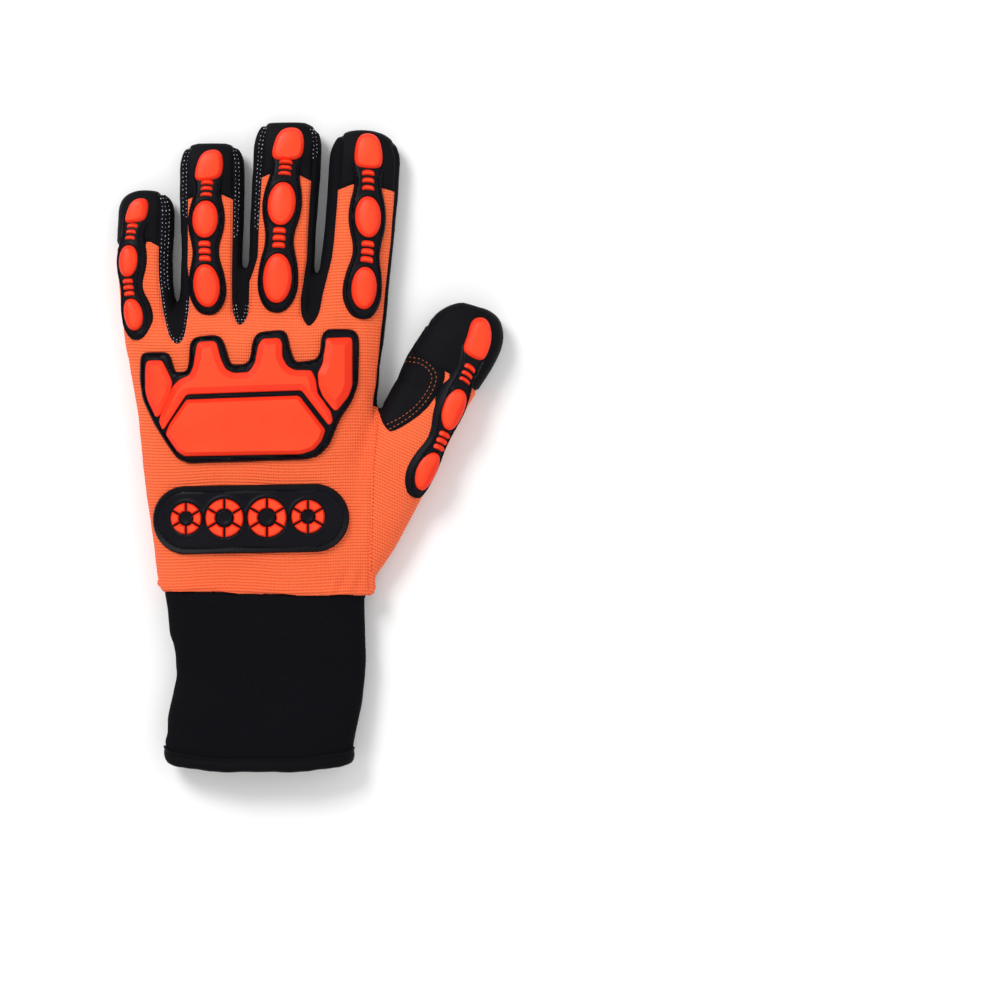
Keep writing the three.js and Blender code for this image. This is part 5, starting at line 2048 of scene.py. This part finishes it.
@dataclass
class Sewing:
    """All seams that show thread, laid on the cloth that looks up (True) and down (False)."""

    skins: dict[bool, BVHTree]
    tree: StitchTree
    threads: Materials

    def lay(self, line: Array, step: float, above: bool, lift: float = 0.08) -> Row:
        """Drops a line in plan onto the cloth from above or from below.

        Args:
            line: The line in plan.
            step: Spacing of its stitches.
            above: Whether it lies on the upper side.
            lift: How far the thread stands off the cloth.

        Returns:
            Points on the cloth and the directions that look out.
        """
        points, out = [], []
        side = 1.0 if above else -1.0
        for x, y in spaced(line, step):
            place, normal, _, _ = self.skins[above].ray_cast(Vector((x, y, 60 * side)), Vector((0, 0, -side)))
            if place is not None:
                normal = normal * (1 if normal.z * side > 0 else -1)
                points.append(place + normal * lift)
                out.append(normal)
        return (np.array(points), np.array(out)) if points else (np.zeros((0, 3)), np.zeros((0, 3)))

    def pair(self, line: Array, gap: float, step: float, above: bool) -> list[Row]:
        """Two rows side by side along a line in plan.

        Args:
            line: The line.
            gap: Space between the rows.
            step: Spacing of the stitches.
            above: Whether they lie on the upper side.

        Returns:
            The rows.
        """
        smooth = spaced(softened(line, 3, False), 0.5)
        side = left_of(np.gradient(smooth, axis=0))
        return [self.lay(smooth + side * k * gap / 2, step, above) for k in (-1, 1)]

    def palm(self) -> None:
        """Double rows, joint arcs and loops on the palm side."""
        rows = []
        for line in (*PALM_ROWS, *PALM_LOOPS):
            rows += self.pair(from_palm(line), 1.9, 2.6, False)
        for line in PALM_ARCS:
            rows += self.pair(from_palm(line), 1.5, 2.2, False)
        self.tree.sew("palm_stitches", rows, self.threads["copper"], length=2.0, width=0.55, height=0.4)

    def edges(self) -> None:
        """Pale overlocking beside the fingers' side walls, and the short rows round the webs."""
        rows = []
        for finger, side, start, end, shares in OVERLOCK:
            at = np.arange(start * finger.length, end * finger.length, 0.9)
            place, aside = finger.spine(at)
            half = finger.profile(at)[0]
            strip = abs(finger.strip[1 if side > 0 else 0])
            for order, extra in enumerate(shares):
                share = np.minimum(strip + extra + 0.012 * np.sin(at * 2.1 + order), 0.95)
                line = (place + aside * (side * share * half)[:, None])[order % 2 :]
                rows.append(self.lay(line, 1.9, True, 0.15))
        for line in WEB_DOTS:
            rows += self.pair(from_back(line), 1.1, 1.7, True)
        for line in PALM_DOTS:
            rows += self.pair(from_palm(line), 1.5, 1.6, False)
        sizes = {"length": 0.9, "width": 0.55, "height": 0.45, "unevenness": 0.6}
        self.tree.sew("overlock_stitches", rows, self.threads["pale"], **sizes)

    def saddle(self) -> None:
        """Double rows on the thumb patch, and the row down the thumb's seam."""
        rows = [self.lay(spaced(softened(from_back(line), 3, False), 0.5), 2.0, True) for line in SADDLE_ROWS]
        self.tree.sew("saddle_stitches", rows, self.threads["copper"], length=1.5, width=0.5, height=0.4)
        seam = np.array(on_hand(THUMB_SEAM[:-1])) + (0.9, 0)
        row = self.lay(softened(seam, 2, False), 1.9, True, 0.0)
        self.tree.sew("thumb_seam_stitches", [row], self.threads["rust"], length=1.3, width=0.5, height=0.35)

    def guards(self, plates: Sequence[Plate]) -> None:
        """Black stitches sunk in the grooves of the guards.

        Args:
            plates: The guards' plates.
        """
        rows = []
        for plate in plates:
            points, above = plate.seam(1.9)
            rows.append((points, above - points))
        self.tree.sew("guard_stitches", rows, self.threads["black"], length=1.45, width=0.75, height=0.7)

    def cuff(self, tab: PullTab) -> None:
        """The binding's row, and the rows down the pull tab.

        Args:
            tab: The pull tab.
        """
        rows = []
        for above in (True, False):
            across = np.linspace(-39, 37, 60)
            points, out = self.lay(np.column_stack([across, -139.4 + 0.9 * mouth_bow(across)]), 2.4, above)
            rows.append((points + 0.72 * out, out))
        seam = tab.seam()
        low = tab.thick - tab.relief(seam, np.full(len(seam), tab.groove))
        points = spaced(np.column_stack([seam, low]), 2.0)
        rows.append((points, np.tile((0.0, 0.0, -1.0), (len(points), 1))))
        self.tree.sew("cuff_stitches", rows, self.threads["black"], length=1.7, width=0.5, height=0.45)


SADDLE_ROWS = (
    (
        (406, 357), (424, 360), (435, 370.5), (437.5, 379), (432, 394.5), (419.5, 410.5), (404, 422),
        (391, 429),
    ),
    (
        (406, 361.5), (422, 364), (431, 372.5), (433, 379.5), (428, 392), (416.5, 407), (402, 418),
        (388.5, 424.5),
    ),
)
PALM_LOOPS = (
    ((589, 317), (578, 338), (582.5, 355), (599, 361), (615, 354), (622, 336), (613, 317)),
    ((654, 305), (645, 327), (651, 343), (667, 349), (681, 343), (686, 327), (678, 305)),
    ((718, 308), (708, 329), (713.5, 345), (730, 351), (744, 345), (750, 329), (742, 308)),
)
PALM_ARCS = (
    ((531, 251), (540, 258), (546, 268), (543, 281), (537, 288)),
    ((575, 250), (563, 258), (559, 268), (563, 280), (577, 290)),
    ((549, 272), (553, 272), (558, 272)),
    ((615, 202), (628, 210), (634, 225), (629, 238), (617, 247)),
    ((656, 210), (649, 220), (646, 232), (650, 243), (657, 251)),
    ((635, 232), (640, 232), (645, 232)),
    ((689, 195), (701, 205), (706, 220), (697, 232), (686, 240)),
    ((730, 204), (717, 212), (712, 222), (716, 235), (725, 246)),
    ((704, 221), (709, 221), (714, 221)),
    ((762, 218), (770, 226), (775, 240), (768, 252), (751, 262)),
    ((817, 227), (800, 232), (791, 243), (793, 255), (806, 272)),
    ((776, 244), (782, 244), (788, 244)),
    ((823, 397), (832, 407), (841, 417)),
    ((841, 417), (850, 411), (862, 409), (872, 411), (882, 417)),
    ((839, 420), (836, 435), (840, 450), (845, 457)),
)
PALM_DOTS = (
    ((578, 215), (577, 250), (583, 285), (590, 310)),
    ((617, 150), (613, 200), (611, 240), (609, 280), (605, 310)),
    ((668, 160), (663, 180), (659, 220), (658, 290), (655, 305)),
    ((688, 150), (686, 180), (684, 220), (680, 240), (676, 270), (673, 300)),
    ((745, 150), (738, 180), (733, 210), (730, 250), (727, 280), (721, 305)),
    ((763, 170), (758, 190), (755, 220), (750, 250), (742, 280), (737, 310), (732, 322)),
    ((590, 315), (600, 330), (607, 315)),
    ((658, 305), (664, 320), (672, 305)),
    ((721, 305), (727, 325), (737, 310)),
)
WEB_DOTS = (
    (
        (161.5, 285), (163.5, 303), (166.5, 321), (171.5, 337), (179.4, 344), (186.5, 335), (188, 318),
        (189, 302),
    ),
    ((235.3, 306), (237.6, 319), (241.4, 324.5), (246, 319), (247.5, 306)),
)
OVERLOCK = (
    # finger, side, shares of its length, shares of the half width beyond the knit's edge
    (LITTLE, 1, 0.34, 0.97, (0.08, 0.19, 0.3)),
    (RING, -1, 0.62, 0.97, (0.03, 0.13)),
    (RING, 1, 0.52, 0.97, (0.05, 0.15)),
    (MIDDLE, -1, 0.5, 0.97, (0.03, 0.12)),
    (MIDDLE, 1, 0.84, 0.97, (-0.02, 0.08)),
)


# Finishes
class Ink:
    """A node tree being written, with short calls for the nodes that the finishes share."""

    def __init__(self, tree: bpy.types.NodeTree) -> None:
        """Starts on an empty tree."""
        self.tree = tree
        tree.nodes.clear()

    prefix = "ShaderNode"

    def node(
        self, kind: str, inputs: dict[int | str, object] | None = None, **options: object
    ) -> bpy.types.Node:
        """Adds a node.

        Args:
            kind: Its type, without the ink's prefix.
            inputs: Values or sockets for its inputs, by name or place.
            options: Settings of the node.

        Returns:
            The node.
        """
        prefix = "" if kind.startswith(("NodeGroup", "FunctionNode")) else self.prefix
        made = self.tree.nodes.new(prefix + kind)
        for key, value in options.items():
            setattr(made, key, value)
        for key, value in (inputs or {}).items():
            if isinstance(value, bpy.types.NodeSocket):
                self.tree.links.new(value, made.inputs[key])
            else:
                made.inputs[key].default_value = value
        return made

    def math(self, operation: str, *values: object) -> bpy.types.NodeSocket:
        """A Math node's result."""
        return self.node("Math", dict(enumerate(values)), operation=operation).outputs[0]

    def spread(
        self, value: object, low: float, high: float, to_low: float = 0, to_high: float = 1
    ) -> bpy.types.NodeSocket:
        """A value carried from one range to another, held at its ends."""
        return self.node("MapRange", {0: value, 1: low, 2: high, 3: to_low, 4: to_high}).outputs[0]

    def blend(self, first: object, much: float, second: object, little: float) -> bpy.types.NodeSocket:
        """The sum of two values, each with its weight."""
        return self.math("ADD", self.math("MULTIPLY", first, much), self.math("MULTIPLY", second, little))

    def mix(self, share: object, low: object, high: object) -> bpy.types.NodeSocket:
        """A blend of two colours."""
        return self.node("Mix", {0: share, 6: low, 7: high}, data_type="RGBA").outputs[2]

    def noise(self, place: object, scale: float, detail: float = 3) -> bpy.types.NodeSocket:
        """Soft cloudy noise from 0 to 1."""
        values = {"Vector": place, "Scale": scale, "Detail": detail, "Roughness": 0.55}
        return self.node("TexNoise", values).outputs[0]


def shader_group(
    name: str, inputs: dict[str, float], outputs: Sequence[str], write: Callable
) -> bpy.types.NodeTree:
    """A shared effect as a node group of numbers.

    Args:
        name: The group's name.
        inputs: Its number inputs with their first values.
        outputs: Names of its number outputs.
        write: Draws the nodes, given the ink and the group's input node, and returns the output sockets.

    Returns:
        The group.
    """
    tree = bpy.data.node_groups.new(name, "ShaderNodeTree")
    for label, value in inputs.items():
        tree.interface.new_socket(label, in_out="INPUT", socket_type="NodeSocketFloat").default_value = value
    for label in outputs:
        tree.interface.new_socket(label, in_out="OUTPUT", socket_type="NodeSocketFloat")
    ink = Ink(tree)
    ink.prefix = ""
    source = ink.node("NodeGroupInput")
    ink.prefix = "ShaderNode"
    results = write(ink, source)
    sink = ink.node("NodeGroupOutput")
    for i, result in enumerate(results):
        tree.links.new(result, sink.inputs[i])
    return tree


def grain_nodes(ink: Ink, source: bpy.types.Node) -> list[bpy.types.NodeSocket]:
    """Fine pebbled grain, and broad uneven patches.

    Args:
        ink: The ink.
        source: The group's input node.

    Returns:
        Height, patches and broad patches.
    """
    place = ink.node("TexCoord").outputs["Object"]
    size = {"Vector": place, "Scale": source.outputs[0]}
    cells = ink.node("TexVoronoi", size, feature="F1").outputs["Distance"]
    fine = ink.node("TexNoise", size | {"Detail": 4.0}).outputs[0]
    height = ink.math("ADD", ink.math("MULTIPLY", cells, -0.6), fine)
    return [height, ink.noise(place, 45, 4), ink.noise(place, 14, 2)]


def knit_nodes(ink: Ink, source: bpy.types.Node) -> list[bpy.types.NodeSocket]:
    """Ribs along an attribute in millimetres, crossed by the fine columns of the stitches.

    Args:
        ink: The ink.
        source: The group's input node.

    Returns:
        Height, ridges, columns and patches.
    """
    rib = ink.node("Attribute", attribute_name="rib").outputs["Fac"]
    place = ink.node("TexCoord").outputs["Object"]
    wobble = ink.spread(ink.noise(place, 60, 2), 0.3, 0.7, -0.16, 0.16)
    turn = ink.math("MULTIPLY", ink.math("ADD", rib, wobble), 2 * math.pi / 1.35)
    ridge = ink.math("POWER", ink.spread(ink.math("SINE", turn), -1, 1), 0.6)
    across = ink.node("SeparateXYZ", {0: place}).outputs[0]
    column = ink.math("SINE", ink.math("MULTIPLY", across, 2 * math.pi / 0.0011))
    column = ink.spread(column, -1, 1)
    yarn = ink.noise(place, 1800, 2)
    height = ink.math("ADD", ridge, ink.math("MULTIPLY", column, source.outputs[0]))
    height = ink.math("ADD", height, ink.math("MULTIPLY", yarn, 0.35))
    return [height, ridge, column, ink.noise(place, 30, 3)]


def cloth_nodes(ink: Ink, source: bpy.types.Node) -> list[bpy.types.NodeSocket]:
    """A fine woven or knitted face of a given pitch, with broad soft patches.

    Args:
        ink: The ink.
        source: The group's input node.

    Returns:
        Height, fibres and patches.
    """
    place = ink.node("TexCoord").outputs["Object"]
    parts = ink.node("SeparateXYZ", {0: place})
    turns = [ink.math("MULTIPLY", parts.outputs[k], source.outputs[0]) for k in (0, 1)]
    first, second = (ink.math("SINE", turn) for turn in turns)
    face = ink.spread(ink.math("MULTIPLY", first, second), -1, 1)
    return [face, ink.noise(place, 900, 2), ink.noise(place, 25, 3)]


@dataclass(frozen=True)
class Finish:
    """A surface finish: two tones, roughness, grain, sheen, shine and a painted shade for its sloping sides.
    """

    name: str
    light: tuple[float, float, float]
    dark: tuple[float, float, float]
    rough: tuple[float, float]
    bump: float
    sheen: float = 0.0
    shine: float = 0.5
    painted_slope_shade: tuple[float, ...] = ()

    def start(self) -> tuple[bpy.types.Material, Ink]:
        """An empty material and its ink.

        Returns:
            Both.
        """
        material = bpy.data.materials.new(self.name)
        material.use_nodes = True
        return material, Ink(material.node_tree)

    def close(self, ink: Ink, color: object, rough: object, height: object, depth: float) -> None:
        """Ends the material in one Principled BSDF.

        Args:
            ink: The material's ink.
            color: Its colour.
            rough: Its roughness.
            height: Its relief.
            depth: The relief's depth in metres.
        """
        bump = ink.node("Bump", {"Height": height, "Strength": self.bump, "Distance": depth}).outputs[0]
        values = {"Base Color": color, "Roughness": rough, "Normal": bump}
        values |= {"Sheen Weight": self.sheen, "Sheen Roughness": 0.6, "Specular IOR Level": self.shine}
        shader = ink.node("BsdfPrincipled", values)
        out = ink.node("OutputMaterial")
        ink.tree.links.new(shader.outputs[0], out.inputs[0])

    def group(self, ink: Ink, name: str, value: float) -> bpy.types.Node:
        """Places a shared effect in the material.

        Args:
            ink: The material's ink.
            name: The effect's name.
            value: Its first input.

        Returns:
            The group's node.
        """
        made = ink.tree.nodes.new("ShaderNodeGroup")
        made.node_tree = bpy.data.node_groups[name]
        made.inputs[0].default_value = value
        return made


class Rubber(Finish):
    """Moulded rubber, leather or film: a faint grain, soft patches, and painted shade that darkens its
    sloping sides.
    """

    def build(self) -> bpy.types.Material:
        """Writes the nodes.

        Returns:
            The material.
        """
        material, ink = self.start()
        grain = self.group(ink, "grain", 2600)
        tone = ink.spread(grain.outputs[1], 0.3, 0.7)
        color = ink.mix(tone, (*self.dark, 1), (*self.light, 1))
        if self.painted_slope_shade:
            # Painted shade: the colour moves towards the third colour wherever the surface tilts away from
            # straight up.
            rise = ink.node("SeparateXYZ", {0: ink.node("NewGeometry").outputs["Normal"]}).outputs["Z"]
            color = ink.mix(ink.spread(rise, 0.99, 0.84, 0, 0.8), color, (*self.painted_slope_shade, 1))
        rough = ink.spread(grain.outputs[2], 0.3, 0.7, *self.rough)
        self.close(ink, color, rough, grain.outputs[0], 0.00012)
        return material


class Knit(Finish):
    """Ribbed stretch knit, with painted shade in the grooves between its ribs and stitch columns."""

    def build(self) -> bpy.types.Material:
        """Writes the nodes.

        Returns:
            The material.
        """
        material, ink = self.start()
        knit = self.group(ink, "knit", 0.45)
        # Painted shade: the colour darkens with the relief of ribs and columns, so the grooves read dark; the
        # broad patches are random tone.
        shade = ink.blend(knit.outputs[1], 0.75, knit.outputs[2], 0.25)
        shade = ink.math("ADD", shade, ink.spread(knit.outputs[3], 0.3, 0.7, -0.12, 0.12))
        color = ink.mix(shade, (*self.dark, 1), (*self.light, 1))
        rough = ink.spread(knit.outputs[1], 0, 1, *self.rough)
        self.close(ink, color, rough, knit.outputs[0], 0.0005)
        return material


class Woven(Finish):
    """Fine cloth, such as neoprene's face, stretch cloth or binding tape, with painted shade in the hollows
    of its weave.
    """

    pitch = 0.9

    def build(self) -> bpy.types.Material:
        """Writes the nodes.

        Returns:
            The material.
        """
        material, ink = self.start()
        cloth = self.group(ink, "cloth", 2 * math.pi / (self.pitch * MM))
        # Painted shade: the colour darkens in the low parts of the weave relief; the broad patches are random
        # tone.
        tone = ink.blend(cloth.outputs[0], 0.4, cloth.outputs[2], 0.6)
        color = ink.mix(tone, (*self.dark, 1), (*self.light, 1))
        rough = ink.spread(cloth.outputs[1], 0.3, 0.7, *self.rough)
        height = ink.math("ADD", cloth.outputs[0], ink.math("MULTIPLY", cloth.outputs[1], 0.6))
        self.close(ink, color, rough, height, 0.00025)
        return material


FINISHES = {
    # The knit's dark tone is partly painted shade in the grooves of its ribs.
    "knit": Knit("knit_orange", (1.0, 0.175, 0.055), (0.88, 0.09, 0.025), (0.75, 0.92), 0.8, 0.04, 0.25),
    "palm_leather": Rubber(
        "palm_black", (0.0055, 0.0055, 0.0075), (0.003, 0.003, 0.0042), (0.55, 0.7), 0.55, 0, 0.06
    ),
    "fourchette_cloth": Woven(
        "stretch_black", (0.007, 0.007, 0.0095), (0.003, 0.003, 0.004), (0.75, 0.95), 0.6, 0, 0.06
    ),
    "neoprene": Woven(
        "neoprene_black", (0.0045, 0.0045, 0.0065), (0.0025, 0.0025, 0.0035), (0.7, 0.9), 0.45, 0, 0.05
    ),
    "binding_tape": Woven(
        "binding_black", (0.003, 0.003, 0.0044), (0.0016, 0.0016, 0.0024), (0.5, 0.7), 0.4, 0, 0.07
    ),
    "black_rubber": Rubber(
        "rubber_black", (0.0042, 0.0042, 0.0068), (0.0026, 0.0026, 0.0046), (0.36, 0.5), 0.25, 0, 0.09
    ),
    # Orange rubber's last colour is painted shade for its sloping sides.
    "orange_rubber": Rubber(
        "rubber_orange", (1.0, 0.066, 0.016), (0.93, 0.052, 0.011), (0.38, 0.5), 0.12, 0, 0.22,
        (0.84, 0.022, 0.003),
    ),
    "window_film": Rubber("window_grey", (0.27, 0.27, 0.39), (0.22, 0.22, 0.33), (0.3, 0.42), 0.1, 0, 0.5),
}
THREADS = {
    "copper": Woven("thread_copper", (0.50, 0.13, 0.05), (0.26, 0.06, 0.025), (0.5, 0.7), 0.5, 0, 0.3),
    "pale": Woven("thread_pale", (0.62, 0.62, 0.70), (0.30, 0.30, 0.36), (0.45, 0.65), 0.5, 0, 0.3),
    "black": Woven(
        "thread_black", (0.003, 0.003, 0.0035), (0.0015, 0.0015, 0.002), (0.6, 0.8), 0.5, 0, 0.08
    ),
    "rust": Woven("thread_rust", (0.35, 0.03, 0.01), (0.20, 0.02, 0.006), (0.6, 0.8), 0.5, 0, 0.2),
}


def make_finishes() -> tuple[Materials, Materials]:
    """Every finish as a material by its slot in the record, and every thread by its colour.

    Returns:
        The finishes, and the threads.
    """
    shader_group("grain", {"Scale": 2000}, ("Height", "Patches", "Broad"), grain_nodes)
    shader_group("knit", {"Columns": 0.4}, ("Height", "Ridge", "Column", "Patches"), knit_nodes)
    shader_group("cloth", {"Turns": 6000}, ("Height", "Fibres", "Patches"), cloth_nodes)
    finishes = {slot: finish.build() for slot, finish in FINISHES.items()}
    return finishes, {name: thread.build() for name, thread in THREADS.items()}


# The studio
FLOOR_REACH = 3.0
FLOOR_Z = -0.0006
LENS, SENSOR = 120, 36
CAMERA_VIEW = 0.45
LAMPS = (
    # name, place, power, size
    ("key", (-0.7, 0.9, 1.3), 17, 0.6),
    ("fill", (1.1, 0.2, 1.2), 3, 1.2),
    ("low", (0.1, -1.2, 0.9), 2.5, 1.0),
)


def studio() -> None:
    """A pale floor, soft lights and the camera, straight above."""
    mesh = bpy.data.meshes.new("floor")
    corners = [(x * FLOOR_REACH, y * FLOOR_REACH, FLOOR_Z) for x, y in ((-1, -1), (1, -1), (1, 1), (-1, 1))]
    mesh.from_pydata(corners, [], [(0, 1, 2, 3)])
    floor = bpy.data.objects.new("floor", mesh)
    bpy.context.scene.collection.objects.link(floor)
    paint = bpy.data.materials.new("floor_pale")
    paint.use_nodes = True
    ink = Ink(paint.node_tree)
    patches = ink.noise(ink.node("TexCoord").outputs["Object"], 3, 2)
    color = ink.mix(patches, (0.9, 0.9, 0.9, 1), (0.94, 0.94, 0.94, 1))
    shader = ink.node("BsdfPrincipled", {"Base Color": color, "Roughness": 0.9, "Specular IOR Level": 0.1})
    out = ink.node("OutputMaterial")
    paint.node_tree.links.new(shader.outputs[0], out.inputs[0])
    mesh.materials.append(paint)
    world = bpy.data.worlds.new("studio")
    world.use_nodes = True
    world.node_tree.nodes["Background"].inputs[0].default_value = (1, 1, 1, 1)
    world.node_tree.nodes["Background"].inputs[1].default_value = 0.7
    bpy.context.scene.world = world
    for name, place, power, width in LAMPS:
        lamp = bpy.data.lights.new(name, "AREA")
        lamp.energy, lamp.size = power, width
        holder = bpy.data.objects.new(name, lamp)
        holder.location = place
        aim = Vector((0.02, 0, 0)) - Vector(place)
        holder.rotation_euler = aim.to_track_quat("-Z", "Y").to_euler()
        bpy.context.scene.collection.objects.link(holder)
    lens = bpy.data.cameras.new("camera")
    lens.lens, lens.sensor_width = LENS, SENSOR
    lens.clip_start = 0.05
    camera = bpy.data.objects.new("camera", lens)
    camera.location = (0.1071, -0.0225, 0.01 + CAMERA_VIEW * LENS / SENSOR)
    bpy.context.scene.collection.objects.link(camera)
    bpy.context.scene.camera = camera
    view = bpy.context.scene.view_settings
    view.view_transform = "Standard"


def main() -> None:
    """Builds the glove piece by piece and reports each one."""
    logging.basicConfig(level=logging.INFO, format="%(name)s: %(message)s")
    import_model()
    finishes, threads = make_finishes()
    panels = Panels(GloveBody().build())
    panels.build(finishes)
    plates = [FingerGuard(finger).build(finishes) for finger in FINGERS]
    plates += [KnuckleGuard().build(finishes), WristGuard().build(finishes)]
    sleeve = Cuff().build(finishes)
    tab = PullTab()
    tab.build(finishes)
    skins = {}
    for above, left_out in ((True, ()), (False, ("back_panel", "thumb_back"))):
        cloth = joined([*(net for name, net in panels.made.items() if name not in left_out), sleeve])
        skins[above] = BVHTree.FromPolygons(cloth.points.tolist(), cloth.faces.tolist())
    sewing = Sewing(skins, StitchTree(), threads)
    sewing.palm()
    sewing.edges()
    sewing.saddle()
    sewing.guards(plates)
    sewing.cuff(tab)
    studio()


if __name__ == "__main__":
    main()
